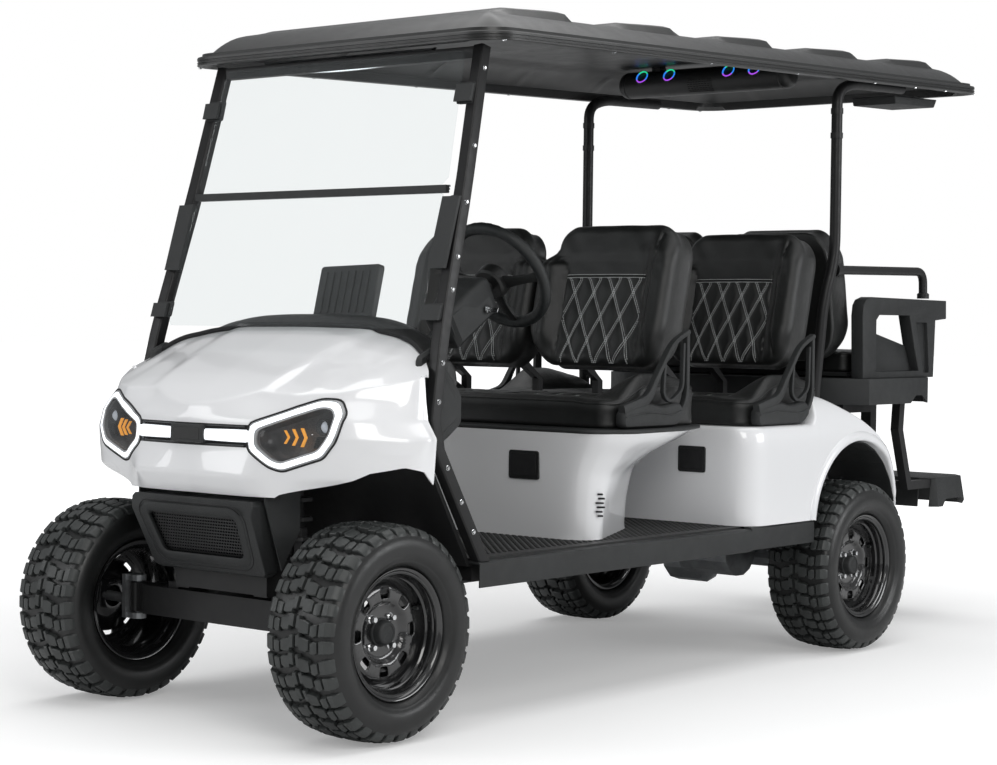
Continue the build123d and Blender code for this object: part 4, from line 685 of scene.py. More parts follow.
# ------------------------------------------------------------------ tyres and wheels
# distance across the tread: across, radius
TREAD_TOP = ((0, 0, 279), (60, 60, 277), (95, 95, 271), (108, 106, 263), (120, 111, 252),
             (150, 116, 222))
TREAD_BASE = ((0, 0, 264), (60, 60, 262.5), (95, 92.5, 257.5), (108, 100.5, 251),
              (120, 106, 242), (150, 112, 218))
TREAD_COUNT = 18
# each block as stations of distance across, low and high edge along the tread
TREAD_BLOCKS = (
    ((4, 2, 34), (14, 2, 36), (16, 10, 44), (34, 12, 46), (46, 18, 44)),
    ((6, 50, 80), (18, 46, 78), (20, 54, 88), (38, 56, 90), (48, 60, 84)),
    ((52, 24, 50), (62, 20, 52), (72, 20, 46)),
    ((54, 66, 94), (64, 62, 96), (74, 64, 90)),
    ((78, 14, 50), (95, 10, 48), (108, 9, 47), (120, 9, 46), (136, 12, 42), (149, 16, 36)),
    ((80, 60, 94), (95, 58, 92), (108, 58, 92), (118, 60, 90), (126, 63, 87)))
# half section of the carcass: across, radius
CARCASS = [(66, 152.3), (88, 152.3), (88, 169), (92, 171.5), (97, 172), (101, 175), (108, 181),
           (112, 186), (113, 190), (115.5, 192), (119, 207), (120, 222), (118, 236), (113, 247),
           (106.5, 254), (101, 258.5), (93, 261), (60, 263.5), (0, 265)]
DISC_FACE = ((0, 34), (62, 34), (70, 36), (80, 47), (88, 49), (112, 49), (120, 45), (128, 38),
             (139, 34))
BARREL = ((96.4, 167.2), (95.4, 164), (92, 160), (86, 157), (80, 152), (70, 148), (52, 145.5),
          (44, 142), (36, 139), (20, 136), (-60, 136), (-78, 142), (-88, 150), (-95, 160),
          (-96.4, 167.2), (-94, 167.4), (-90, 160), (-86, 152.2), (-66, 151.8), (-58, 142),
          (58, 142), (66, 151.8), (86, 152.2), (90, 160), (93, 166.6), (94.6, 168),
          (96.4, 167.2))


def lug(stations, side, shift):
    """A tread block, chamfered along its top edges."""
    rings = []
    for u, low, high in stations:
        end = 0.88 if u in (stations[0][0], stations[-1][0]) else 1.0
        (x0, r0), (x1, r1) = row_at(TREAD_BASE, u), row_at(TREAD_TOP, u)
        ring = []
        for v, h in ((low - 1.5, 0), (low, 0.84 * end), (low + 2.2, end), (high - 2.2, end),
                     (high, 0.84 * end), (high + 1.5, 0)):
            a, r = (v + shift) / TYRE_RADIUS, r0 + (r1 - r0) * h
            ring.append((side * (x0 + (x1 - x0) * h), r * math.cos(a), r * math.sin(a)))
        rings.append(ring)
    return loft(rings)


def wheel_disc():
    """Pressed disc with eight rounded windows and turned-in lips."""
    inner, outer, half, middle = 30.0, 139.0, math.pi / 8, 99.0
    radii, angles = evenly(inner, outer, 14), evenly(-half, half, 10)
    border = ([(r, -half) for r in radii] + [(outer, a) for a in angles[1:]]
              + [(r, half) for r in radii[-2::-1]] + [(inner, a) for a in angles[-2:0:-1]])
    shape = rounded([(85, -13.5), (113, -18.5), (113, 18.5), (85, 13.5)], 9.0, 11)
    centre = Vector((middle, 0))
    window = [met(shape, centre, (Vector((r, a * middle)) - centre).normalized())
              for r, a in border]
    flat = [[(w + (w - centre).normalized() * draw, depth) for w in window]
            for depth, draw in ((-5.0, 0.0), (-4.0, -1.2), (-1.4, -1.0), (-0.4, 0.4))]
    for t in evenly(0, 1, 9)[1:]:
        flat.append([(w + (w - centre).normalized() * 2.4 * (1 - t)
                      + (Vector((r, a * r)) - w) * t, 0.0) for w, (r, a) in zip(window, border)])
    rings = [[(row_at(DISC_FACE, p.x, True)[0] + depth, p.x * math.cos(p.y / p.x),
               p.x * math.sin(p.y / p.x)) for p, depth in ring] for ring in flat]
    return copies(loft(rings, caps=False), [swung(45 * k) for k in range(8)])


def wheels():
    """Tyre, wheel and hub for each corner."""
    ring = ring_tree(RUBBER)
    carcass = turned(CARCASS + [(-x, r) for x, r in reversed(CARCASS[:-1])] + [CARCASS[0]], 108)
    pitch = FULL_TURN * TYRE_RADIUS / TREAD_COUNT
    tread = Form()
    for side, shift in ((1, 0.0), (-1, pitch / 2)):
        for stations in TREAD_BLOCKS:
            tread.merge(lug(stations, side, shift))
    shell_form = turned(BARREL, 120).merge(wheel_disc()).merge(
        turned([(20, 30), (20, 60), (28, 72), (36, 84), (44, 100)], 60))
    cap = turned([(33, 37), (37, 37), (38.5, 35.5), (39, 33), (43, 32), (55, 30.5), (58.5, 28),
                  (60, 24), (60, 21), (58.6, 20), (58.6, 0.02)])
    nut = turned([(33, 11.5), (36, 11.5), (38, 9.2), (40, 8.6)], 24)
    nut.merge(turned([(38, 8.4), (48, 8.4), (50, 7.2), (50.5, 0.02)], 6))
    nuts = copies(nut, [swung(90 * k + 45) @ moved(0, 50, 0) for k in range(4)])
    valve = copies(rod([(34, 0, 0), (48, 0, 0), (52, 0, 0)], 3.6),
                   [Matrix.Rotation(0.4, 4, "X") @ moved(0, 131, 0)])
    for name, x, y, side in WHEELS:
        on = {"body": "wheel_" + name,
              "place": station(x, y, AXLE_Z) @ Matrix.Diagonal((side, 1, 1, 1))}
        carcass.make("tyre_carcass_" + name, SIDEWALL, 40, node="tyre_" + name, **on)
        grow(rough_piece("tyre_tread_" + name, tread, MILLIMETRE), ring,
             {"Count": TREAD_COUNT, "Start": 0.1 * side, "Centre": tuple(at(x, y, AXLE_Z))},
             RUBBER, 30, "wheel_" + name)
        shell_form.make("wheel_" + name + "_shell", WHEEL, 50, node="rim_" + name, **on)
        for label, form, material, sharp in (("hub_cap_", cap, PLASTIC, 45),
                                             ("lug_nuts_", nuts, CHROME, 30),
                                             ("valve_", valve, RUBBER, 40)):
            form.make(label + name, material, sharp, **on)


wheels()


# ------------------------------------------------------------------ seats
def grid_lines(low, high, edge, step, ease):
    """Grid lines from low to high, closer together over the edges."""
    inner = high - low - 2 * edge
    count = max(2, round(inner / step))
    return ([low + e for e in ease] + evenly(low + edge, high - edge, count)
            + [high - e for e in reversed(ease)])


class Pad:
    """A stuffed pad drawn on its face: u across, v along, w out of the face."""

    def __init__(self, half, length, base, corner, edge, face, width_at=None, waist=4.0, step=6.0):
        self.half, self.length, self.base = half, length, base
        self.corner, self.edge, self.face = corner, edge, face
        self.width_at = width_at or (lambda v, u: half)
        self.waist, self.step = waist, step

    def spot(self, u, v):
        """Where a grid point lands, and how far it is from the outline."""
        du, dv, r = self.half - abs(u), min(v, self.length - v), self.corner
        edge = min(du, dv)
        if du < r and dv < r:
            a, b = (r - du) / r, (r - dv) / r
            m, size = max(a, b), math.hypot(a, b)
            if size > 1e-9:
                a, b = a * m / size, b * m / size
            edge = r * (1 - m)
            u = math.copysign(self.half - r + r * a, u)
            v = r - r * b if v < self.length / 2 else self.length - r + r * b
        return u * self.width_at(v, u) / self.half, v, edge

    def top(self, u, v):
        """Point of the face under a grid point."""
        x, y, edge = self.spot(u, v)
        t = max(0.0, 1 - edge / self.edge)
        return Vector((x, y, self.face(x, y)
                       - self.edge * (1 - math.sqrt(max(0.0, 1 - t * t)))))

    def form(self):
        ease = [self.edge * (1 - math.cos(k * math.pi / 12)) for k in range(6)]
        us = grid_lines(-self.half, self.half, self.edge, self.step, ease)
        vs = grid_lines(0, self.length, self.edge, self.step, ease)
        return closed_sheet([[self.top(u, v) for u in us] for v in vs], None, [
            (self.base, share, inset) for share, inset in (
                (0.12, 1.2), (0.3, self.waist * 0.8), (0.55, self.waist),
                (0.8, self.waist * 0.6), (0.93, 1.0), (0.98, 3.5), (1.0, 9.0))])

    def line(self, points, lift=0.0):
        """A run of points laid on the face."""
        return [self.top(u, v) + Vector((0, 0, lift)) for u, v in points]

    def piping(self, name, inset, place, body="cart"):
        """A piped edge that follows the outline at a distance."""
        half, top, step = self.half - inset, self.length - inset, 8.0
        across = evenly(-half, half, int(2 * half / step))[:-1]
        along = evenly(inset, top, int((top - inset) / step))[:-1]
        path = self.line([(u, inset) for u in across] + [(half, v) for v in along]
                         + [(-u, top) for u in across] + [(-half, top + inset - v) for v in along]
                         + [(-half, inset)], -0.6)
        rod(path, 3.2, 8).make(name, LEATHER, 60, place, body)

    def cushion(self, name, place, node, body="cart"):
        """The leather piece."""
        obj = self.form().make(name, LEATHER, 60, place, body)
        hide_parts(node)


STITCHES = stitch_tree(THREAD)


def stitched(name, runs, place, body="cart"):
    """Thread stitches along runs of points in a pad's own millimetres."""
    verts, edges = [], []
    for run in runs:
        edges += [(len(verts) + i, len(verts) + i + 1) for i in range(len(run) - 1)]
        verts += run
    grow(raw(name, verts, [], place, edges), STITCHES,
         {"Pitch": 0.0064, "Length": 0.0044, "Thread radius": 0.00105}, THREAD, 80, body)


DIAMOND_WIDE, DIAMOND_TALL = 74.0, 150.0
DIAMOND_LEAN = DIAMOND_WIDE / math.hypot(DIAMOND_WIDE, DIAMOND_TALL) * DIAMOND_TALL


def quilt(u, v, depth):
    """Height of the tall diamond quilting: puffed cells between sewn lines."""
    turns = (u / DIAMOND_WIDE + v / DIAMOND_TALL, u / DIAMOND_WIDE - v / DIAMOND_TALL)
    near, far = sorted(abs(t - round(t)) * DIAMOND_LEAN for t in turns)
    puff = (1 - groove(near, 11.0)) * (1 - groove(far, 11.0))
    return depth * (puff - 1) - 1.2 * groove(near, 3.0)


def diamond_runs(pad, half, low_v, high_v, centre=0.0):
    """Double stitch lines either side of each quilting line, inside a window."""
    runs = []
    reach = int(2 * half / DIAMOND_WIDE + (high_v - low_v) / DIAMOND_TALL) + 4
    offset = 2.9 * DIAMOND_WIDE / DIAMOND_LEAN
    for lean in (1, -1):
        for k in range(-reach, reach + 1):
            for side in (-offset, offset):
                run = []
                for v in evenly(low_v, high_v, int((high_v - low_v) / 6.0)) + [None]:
                    u = (k - lean * (v or 0) / DIAMOND_TALL) * DIAMOND_WIDE + side
                    if v is not None and abs(u) <= half:
                        run.append((u + centre, v))
                    elif len(run) > 2:
                        runs.append(pad.line(run, 0.35))
                        run = []
    return runs


def back_pad(half):
    """A seat back: plain head, quilted middle, raised wings; the inner wing ends below the head."""
    panel = half - 106

    def width_at(v, u):
        foot = 30 * (1 - ramp(-20, 130, v))
        if u >= 0:
            return half - 16 * ramp(330, 438, v) - foot
        return half - 50 * ramp(322, 362, v) - 8 * ramp(362, 438, v) - foot

    def face(u, v):
        beside, bow = abs(u), 1 - (u / half) ** 2
        rise = 1 - ramp(300, 345, v) if u < 0 else 1 - 0.85 * ramp(300, 420, v)
        height = 88 + 6 * bow + 8 * ramp(150, 438, v) * bow + 5 * ramp(318, 350, v)
        height += 34 * ramp(panel - 4, panel + 52, beside) * ramp(0, 110, v) * rise
        inside = ((1 - ramp(panel - 6, panel + 4, beside)) * ramp(2, 16, v)
                  * (1 - ramp(264, 272, v)))
        height += quilt(u, v, 7.0) * inside
        height -= 6 * groove(v - 275, 3.4) * (1 - ramp(panel, panel + 14, beside))
        if v < 300:
            height -= 6 * groove(beside - panel - 4, 5.0) * ramp(0, 30, v)
        if u > 0 and v < 400:
            seam = u - (half - 64) - 0.00022 * (v - 190) ** 2
            height -= 7 * groove(seam, 4.5) * ramp(10, 60, v)
        if u < 0 and v < 330:
            height -= 4 * groove(u + half - 40, 3.6) * ramp(10, 60, v)
            seam = v - 330 + 0.25 * (u + half - 60)
            height -= 7 * groove(seam, 5.0) * ramp(panel - 10, panel + 30, -u)
        # creases pulled out of the corner of the head
        height += (1.3 * math.sin(u * 0.071 + v * 0.052) * ramp(250, 330, v)
                   * ramp(40, 150, beside))
        return height + 0.9 * math.sin(u * 0.051 + 1.7 * math.sin(v * 0.023)) * math.sin(v * 0.047)

    return Pad(half, 438, 0, 74, 30, face, width_at, 5.0, 5.6)


def bench_pad():
    """A bench cushion: rounded front roll, two quilted places and domed bolsters at the ends."""
    half, depth = 527.0, 453.0

    def face(u, v):
        height = 82 + 8 * math.sin(min(v / depth, 1) * math.pi) * (1 - (u / half) ** 2)
        across = (abs(u) - (half - 134)) / 134
        if across > 0:
            dome = math.sin(min(across * 1.12, 1) * math.pi / 2) ** 0.8
            height += (74 * dome * (1 - 0.35 * ramp(0.72, 1.0, across))
                       * ramp(0.08 * depth, 0.42 * depth, v)
                       * (1 - 0.35 * ramp(0.6 * depth, depth, v)))
        height += 5 * (1 - ramp(60, 92, v)) * (1 - ramp(half - 150, half - 90, abs(u)))
        for centre in (-205.0, 205.0):
            beside = abs(u - centre)
            inside = (1 - ramp(142, 152, beside)) * ramp(92, 104, v) * (1 - ramp(400, 412, v))
            height += quilt(u - centre, v, 6.0) * inside
            if 80 < v < 420:
                height -= 5 * groove(beside - 160, 4.5)
        height -= 5.5 * groove(v - 82, 4.5) * (1 - ramp(half - 150, half - 130, abs(u)))
        height -= 7 * groove(abs(u) - (half - 136), 4.5) * ramp(20, 60, v)
        return height + 0.9 * math.sin(u * 0.031 + 1.9 * math.sin(v * 0.027)) * math.sin(v * 0.041)

    return Pad(half, depth, 1, 62, 27, face, None, 3.0, 7.0)


def rear_pad():
    """The flat cushion over the rear deck."""
    half, depth = 429.0, 428.0

    def face(u, v):
        height = 70 + 5 * math.sin(v / depth * math.pi) * (1 - (u / half) ** 2)
        height -= 5 * (groove(abs(u) - 130, 4.0) + groove(abs(u) - 385, 4.0))
        if abs(u) < 385:
            height -= 4 * (groove(v - 52, 4.0) + groove(v - 376, 4.0))
        return height + 0.8 * math.sin(u * 0.04 + 1.5 * math.sin(v * 0.03)) * math.sin(v * 0.05)

    return Pad(half, depth, 1, 40, 18, face, None, 2.0, 8.0)


def seats():
    """Six seat backs, two benches and the rear cushion, with their piping and stitching."""
    upright = Matrix(((1, 0, 0, 0), (0, 0, -1, 92), (0, 1, 0, 0), (0, 0, 0, 1)))
    front, rear = swung(-14) @ upright, swung(10) @ swung(180, "Z") @ upright
    # row, half width, centre x, foot y, foot z, stand, side of the outer wing
    for row, half, x, y, z, stand, wing in (
            (1, 252.0, 258.5, 1210, 942, front, 1),
            (2, 252.0, 258.5, 1210 + ROW_PITCH, 942, front, 1),
            (3, 227.0, 234.5, 2380, 959, rear, -1)):
        pad, panel = back_pad(half), half - 106
        for side, label in SIDES:
            name = f"back_row{row}_{label}"
            place = station(side * x, y, z) @ stand @ Matrix.Diagonal((wing * side, 1, 1, 1))
            pad.cushion(name, place, f"backrests_row{row}")
            runs = diamond_runs(pad, panel - 2, 8, 268)
            runs += [pad.line([(u, v) for u in evenly(-panel, panel, 38)], 0.3)
                     for v in (270.5, 279.5)]
            stitched("stitches_" + name, runs, place)
    bench = bench_pad()
    for row, y, z in ((1, 949, 764.5), (2, 949 + ROW_PITCH, 752.5)):
        place = station(0, y, z)
        bench.cushion(f"bench_row{row}", place, f"cushion_row{row}")
        stitched(f"stitches_bench_row{row}", diamond_runs(bench, 140, 98, 406, -205.0)
                 + diamond_runs(bench, 140, 98, 406, 205.0), place)
        bench.piping(f"piping_bench_row{row}", 5.0, place)
    flip, place = rear_pad(), station(0, 2421, 909.5)
    flip.cushion("bench_row3", place, "cushion_row3", "rear_seat")
    flip.piping("piping_bench_row3", 3.0, place, "rear_seat")
    stitched("stitches_bench_row3", [
        flip.line([(side * u, 24 + k * 8) for k in range(48)], 0.2)
        for side in (-1, 1) for u in (126, 134, 381, 389)], place, "rear_seat")


seats()


# ------------------------------------------------------------------ nose, hood and lamps
NOSE_LEVELS = (
    # z, centre y, inner x, inner y, corner x, corner y, cheek x, cheek y, side x, side y, rear x
    (612, -158, 200, -156, 274, -136, 430, -52, 556, 40, 584),
    (664, -188, 206, -184, 274, -140, 450, -88, 578, 30, 592),
    (728, -182, 210, -168, 300, -146, 458, -92, 588, 40, 597),
    (768, -182, 212, -164, 320, -138, 470, -86, 597, 60, 600),
    (812, -178, 207, -162, 332, -126, 472, -70, 560, 60, 570),
    (866, -172, 207, -120, 332, -108, 436, -52, 548, 70, 562),
    (1120, -60, 200, -20, 320, 0, 420, 40, 520, 120, 540))
NOSE_FOOT = 612.0
HOOD_LINE = ((-232, 796), (-177, 841), (-60, 921), (60, 984), (180, 1026), (262, 1046),
             (322, 1054))
HOOD_CROWN = ((0, 0), (207, 9), (350, 31), (470, 58), (580, 92), (700, 133))
HOOD_BACK = ((0, 248), (250, 242), (380, 222), (505, 176), (550, 140), (566, 122))
ARCH_LINE = ((-152, 560), (-140, 614), (-100, 640), (-40, 682), (24, 697), (80, 684),
             (118, 650))
COWL_REAR_Y = 118.0
LAMP_OUTLINE = ((206, 800), (390, 867), (432, 865), (459, 829), (452, 764), (420, 718),
                (300, 680), (270, 688), (206, 734))
HOOD_LIP_Y, HOOD_LIP_Z, HOOD_SLOPE = -177, 841, 0.467
LAMP_CENTRE = Vector((350.0, 775.0))


def curve(points, t):
    """Point of a smooth curve through plane points; t counts the points."""
    i = min(int(t), len(points) - 2)
    f = t - i
    p1, p2 = points[i], points[i + 1]
    p0 = points[i - 1] if i else p1 * 2 - p2
    p3 = points[i + 2] if i + 2 < len(points) else p2 * 2 - p1
    return ((p1 * 2) + (p2 - p0) * f + (p0 * 2 - p1 * 5 + p2 * 4 - p3) * f ** 2
            + (p1 * 3 - p0 - p2 * 3 + p3) * f ** 3) * 0.5


def hood_z(x, y):
    """Height of the hood's surface."""
    flat = HOOD_LIP_Z + HOOD_SLOPE * (y - HOOD_LIP_Y)
    bulge = between(HOOD_LINE, y) - flat
    limit = 34 - between(HOOD_CROWN, abs(x))
    low = min(bulge, limit) - 9 * max(0.0, 1 - abs(bulge - limit) / 36) ** 2
    edge = 204 + 0.16 * (y - HOOD_LIP_Y)
    panel = (1 - ramp(edge - 12, edge + 20, abs(x))) * ramp(-168, -90, y)
    flank = ramp(380, 440, abs(x)) * (1 - ramp(440, 520, abs(x))) * ramp(-60, 60, y)
    return flat + low + 6 * panel + 5 * flank


def nose_spot(s, z):
    """Plan place of the nose for a column share s (0 centre to 5 rear) at a height."""
    row = [0, *row_at(NOSE_LEVELS, z), COWL_REAR_Y]
    keys = [Vector(pair) for pair in zip(row[::2], row[1::2])]
    if s <= 1:
        return keys[0].lerp(keys[1], s) - Vector((0, 14 * s * (1 - s)))
    return keys[1].lerp(keys[2], s - 1) if s <= 2 else curve(keys[2:], s - 2)


def nose_foot(s):
    """Height of a column's lower edge: the chin or the wheel arch."""
    z = NOSE_FOOT
    for _ in range(12):
        p = nose_spot(s, z)
        if p.x < 275:
            return NOSE_FOOT
        z = 0.5 * z + 0.5 * max(NOSE_FOOT, between(ARCH_LINE, p.y))
    return z


def nose_y(x, z):
    """Station of the nose's surface seen from the front."""
    return nose_spot(bisected(0.0, 4.6, 24, lambda s: nose_spot(s, z).x < abs(x)), z).y


def on_nose(p, out=0.0):
    """A front-view point laid on the nose, standing out by a distance."""
    return Vector((p[0], nose_y(*p) - out, p[1]))


def lamp_loop(grow_by, radius=14.0):
    """The lamp's outline, grown and rounded, as equally turned points."""
    outline = rounded(grown(LAMP_OUTLINE, grow_by), radius, 5)
    return [met(outline, LAMP_CENTRE, Vector((math.cos(a), math.sin(a))))
            for a in evenly(0, FULL_TURN, 96)[:-1]]


def front_cowl():
    """White hood, nose and fenders as one smooth shell with the lamp openings cut through."""
    def top_of(s):
        def below(z):
            p = nose_spot(s, z)
            return hood_z(p.x, p.y) > z
        return bisected(700.0, 1110.0, 30, below)

    columns = []
    ends = tuple(enumerate((0.0, 250.0, 380.0, 505.0, 550.0, 566.0)))
    for s in [s for low, count in enumerate((18, 8, 14, 14, 10))
              for s in evenly(low, low + 1, count)[:-1]] + [5.0]:
        top, foot = top_of(s), nose_foot(s)
        column = [Vector((*nose_spot(s, z), z)) for z in evenly(foot, top, 46)[:-1]]
        x_end = between(ends, s)
        edge, aim = nose_spot(s, top), Vector((x_end, between(HOOD_BACK, x_end)))
        for t in evenly(0, 1, 42):
            p = edge.lerp(aim, t)
            column.append(Vector((*p, hood_z(*p))))
        columns.append(column)
    grid = [[Vector((-p.x, p.y, p.z)) for p in row[:0:-1]] + list(row) for row in zip(*columns)]
    obj = shell(eased_grid(grid, 2), 4.5).make("hood_and_nose", WHITE, 32, node="front_cowl")
    loop = lamp_loop(3.0)
    carve(obj, loft([[(p.x, y, p.y) for p in loop] for y in (-260, 40)]).mirrored(), 32)
    carve(obj, slab(rect(-214, 738, 214, 796, 7), -260, -120, 1, "y"), 32)


def band(name, material, profile, node=None):
    """A raised band round the lamp from (growth, height over the nose) pairs."""
    rings = [[on_nose(p, height) for p in lamp_loop(growth)] for growth, height in profile]
    loft(rings, caps=False).mirrored().make(name, material, 40, node=node)


def dish(name, material, sharp, profile, node=None):
    """A dished plate inside the lamp from (depth, share of the way out) pairs."""
    loop = lamp_loop(-23.5)
    rings = [[on_nose(LAMP_CENTRE + (p - LAMP_CENTRE) * t, -depth) for p in loop]
             for depth, t in profile]
    loft(rings, caps=False).mirrored().make(name, material, sharp, node=node)


def lamps():
    """Lit surround with its bar, smoked lenses, chevrons, projectors and the blank plate."""
    band("light_surround_glow", LIGHT, ((-5, -10), (-5, 2.4), (-6.5, 3.6), (-9, 4.2), (-12, 4.4),
                                        (-15, 4.2), (-17.5, 3.6), (-19, 2.4), (-19, -10)),
         "light_surround")
    band("light_surround_edge", GUIDE_EDGE, (
        (-0.5, -14), (-0.5, 0), (-2, 1.8), (-4, 2.7), (-5.5, 2.2), (-18.5, 2.2), (-20, 2.7),
        (-22, 1.8), (-24, 0), (-24, -16)))
    rings = []
    for x in evenly(-220, 220, 44):
        reach = 1 - 0.12 * (1 - ramp(0, 170, abs(x)))
        rings.append([on_nose((x, 767 + dz * reach), out) for dz, out in (
            (-16, -12), (-16, -1), (-14, 2.5), (-8, 3.8), (0, 4.2), (8, 3.8), (14, 2.5), (16, -1),
            (16, -12))])
    loft(rings).make("light_bar_glow", LIGHT, 40)
    slab(rect(-210, 734, 210, 800, 6), -148, -140, 1, "y").make("bar_recess", BLACK_AND_SLOT_SHADE, 30)
    lips = Form()
    for z in (793.0, 741.0):
        lips.merge(rod([on_nose((x, z), -4) for x in range(-190, 191, 10)], 3.2, 8))
    lips.make("bar_recess_lips", PLASTIC, 60)
    path = [on_nose(p, -0.5) for p in lamp_loop(1.6)]
    rod(path + path[:2], 2.6, 8, caps=False).mirrored().make("lamp_gaskets", BLACK_AND_SLOT_SHADE, 80)
    dish("lamp_lens_covers", LENS, 60,
         ((6, 1.0), (2.5, 0.97), (1.5, 0.85), (0.5, 0.4), (0.5, 0.02)), "lamp_lenses")
    dish("lamp_bowls", BOWL, 50, ((12, 1.0), (30, 0.96), (44, 0.86), (50, 0.5), (50, 0.02)))
    chevrons, trim = Form(), Form()
    middle = 768
    for x, size in ((303, 0.72), (326, 0.88), (350, 1.0)):
        tall, thick = 24 * size, 9 * size
        shape = [(x - 9, middle - tall), (x - 9 + thick, middle - tall), (x + thick + 4, middle),
                 (x - 9 + thick, middle + tall), (x - 9, middle + tall), (x + 4, middle)]
        depth = nose_y(x, middle) + 17
        chevrons.merge(slab(shape, depth, depth + 6, 1.2, "y"))
    chevrons.mirrored().make("turn_chevrons", AMBER, 30)
    r, spot = 17, moved(*on_nose((402, 796), -16))
    trim.merge(turned([(26, 2), (20, r * 0.6), (2, r * 0.98), (-3, r * 1.12), (-3, r * 1.3),
                       (6, r * 1.35), (26, r * 1.2)], 32, "y"), spot)
    bulb = turned([(16, r * 0.92), (8, r * 0.86), (1, r * 0.5), (-1, 0.05)], 32, "y")
    copies(bulb, [spot]).mirrored().make("lamp_projectors", PROJECTOR, 50)
    for x in (380, 385, 390, 395):
        y = nose_y(x, 758)
        trim.merge(slab([(x, 742), (x + 2, 742), (x + 14, 772), (x + 12, 772)], y + 18, y + 30,
                        0.6, "y"))
    trim.mirrored().make("lamp_inner_trim", DASH, 40)
    y = nose_y(0, middle)
    slab(rounded([(-62, 744), (62, 744), (60, 792), (-60, 792)], 5, 3), y - 9, y + 6, 2.2,
         "y").make("blank_badge_plate", PLASTIC, 30)
    slab(rounded([(-50, 752), (50, 752), (49, 784), (-49, 784)], 4, 3), y - 10.2, y - 8, 0.9,
         "y").make("blank_badge_inset", DASH, 30)


FASCIA_SLOPE = (176 - 104) / (560 - 402)


def on_fascia(x, z, out=0.0):
    """A point on the lower fascia's sloping face."""
    return Vector((x, -104 - (z - 402) * FASCIA_SLOPE - out, z))


def lower_fascia():
    """Fine pierced grille, the frame round it, the scored line outside that and the bolts."""
    x, z = 5.0, 4.2  # half a cell
    square = [(-x, -z), (0, -z), (x, -z), (x, 0), (x, z), (0, z), (-x, z), (-x, 0)]
    hole = [(-2.4, -2.3), (0.9, -3.1), (3.4, -1.6), (3.6, 0.6), (2.4, 2.3), (-0.9, 3.1),
            (-3.4, 1.6), (-3.6, -0.6)]
    cell = loft([[(p, depth - q * FASCIA_SLOPE, q) for p, q in outline] for outline, depth in (
        (square, 0.0), (hole, -0.6), (hole, 3.0), (square, 3.0))], caps=False)
    step = 0.001 * 2 * z
    mesh = grow(rough_piece("grille_mesh", cell, MILLIMETRE), row_tree(DASH), {
        "Columns": 34, "Rows": 14, "Column step": (2 * x / 1000, 0, 0),
        "Row step": (0, -step * FASCIA_SLOPE, step), "Stagger": 0.5}, DASH, 30,
        node="front_grille")
    shift_mesh(mesh, at(*on_fascia(-166, 446, -13)))
    mouth = [(-144, 442), (144, 442), (158, 452), (172, 546), (160, 556), (-160, 556),
             (-172, 546), (-158, 452)]
    loft([[on_fascia(*p, height) for p in rounded(grown(mouth, growth), 18, 6)]
          for growth, height in ((-3, -9), (-3, 0.5), (0, 2.8), (8, 3.4), (18, 2.8), (22, 1.2),
                                 (24, -0.8))], caps=False).make("grille_frame", PLASTIC, 50)
    # the scored line is a dark raised rod: painted shade standing for the groove
    path = [on_fascia(*p, -0.2) for p in rounded(grown(mouth, 30), 24, 6)]
    rod(path + path[:2], 1.6, 8, caps=False).make("fascia_score", BLACK_AND_SLOT_SHADE, 80)
    copies(bolt_head(6, 5), [
        facing((side * x, y, z), (side, lean, 0)) for side in (-1, 1)
        for x, y, z, lean in ((200, -82, 520, -0.2), (262, -112, 612, -0.15))]).make(
        "fascia_bolts", STEEL, 30)


front_cowl()
lamps()
lower_fascia()


# ------------------------------------------------------------------ white pods and rear body
POD_LEVELS = (
    # share of the height, front x, front y, side x, side y, hip x, hip y, rear x, rear y
    (0.0, 452, 874, 506, 930, 466, 1010, 330, 1300),
    (0.30, 458, 871, 509, 929, 474, 1015, 334, 1302),
    (0.62, 472, 868, 520, 928, 500, 1032, 350, 1310),
    (0.80, 494, 866, 552, 940, 542, 1096, 420, 1330),
    (0.92, 516, 862, 592, 958, 572, 1225, 466, 1396),
    (1.0, 524, 860, 600, 962, 580, 1250, 500, 1442))
BODY_TOP = ((1572, 752), (1950, 752), (1978, 768), (2000, 812), (2030, 842), (2080, 834),
            (2135, 812), (2250, 764), (2350, 705), (2440, 636), (2508, 560), (2541, 490))
# how far the tail draws in behind the arch
TAIL = ((2315, 0), (2400, 2), (2495, 26), (2541, 60))
SILL = 447.0
BODY_FRONT_Y, BODY_REAR_Y, BODY_HALF = 1572.0, 2541.0, 600.0
POD_FOOT, POD_TOP = 446.0, 756.0
ARCH_Y, ARCH_Z, ARCH_RADIUS = 2222.0, 415.0, 276.0


def pod_loop(share, outset=0.0):
    """Plan outline of the front pod at a share of its height, starting at the rear middle."""
    fx, fy, sx, sy, hx, hy, rx, ry = row_at(POD_LEVELS, share)
    fx, sx, hx, rx, ry, fy = (v + outset for v in (fx, sx, hx, rx, ry, fy - 2 * outset))
    half = [(rx, ry), (hx, hy), (sx, sy), (fx, fy)]
    outline = [(0, ry)] + half + [(0, fy - 4)] + [(-x, y) for x, y in half[::-1]]
    radii = (1, 40, 90, 46, 52, 200, 52, 46, 90, 40)
    arcs = [arc(*corner, radius, 7) for corner, radius in zip(corners(outline), radii)]
    return [p for run, ahead in zip(arcs, arcs[1:] + arcs[:1])
            for p in run + [run[-1].lerp(ahead[0], k / 9) for k in range(1, 9)]]


def front_pod():
    """Front seat base: a smooth white shell that flares out under the cushion."""
    rows = [[Vector((*p, POD_FOOT + (POD_TOP - POD_FOOT) * share)) for p in loop + loop[:1]]
            for share, loop in ((share, pod_loop(share)) for share in evenly(0, 1, 40))]
    shell(eased_grid(rows, 14)).make("seat_base_front", WHITE, node="seat_pod_front")
    loft([[(*p, z) for p in pod_loop(1.0, out)] for z, out in (
        (752, 1.5), (753, 4.0), (757, 5.5), (761, 5.0), (764, 2.0), (764.2, -14))]).make(
        "seat_base_front_trim", PLASTIC, 50, node="seat_rim_front")


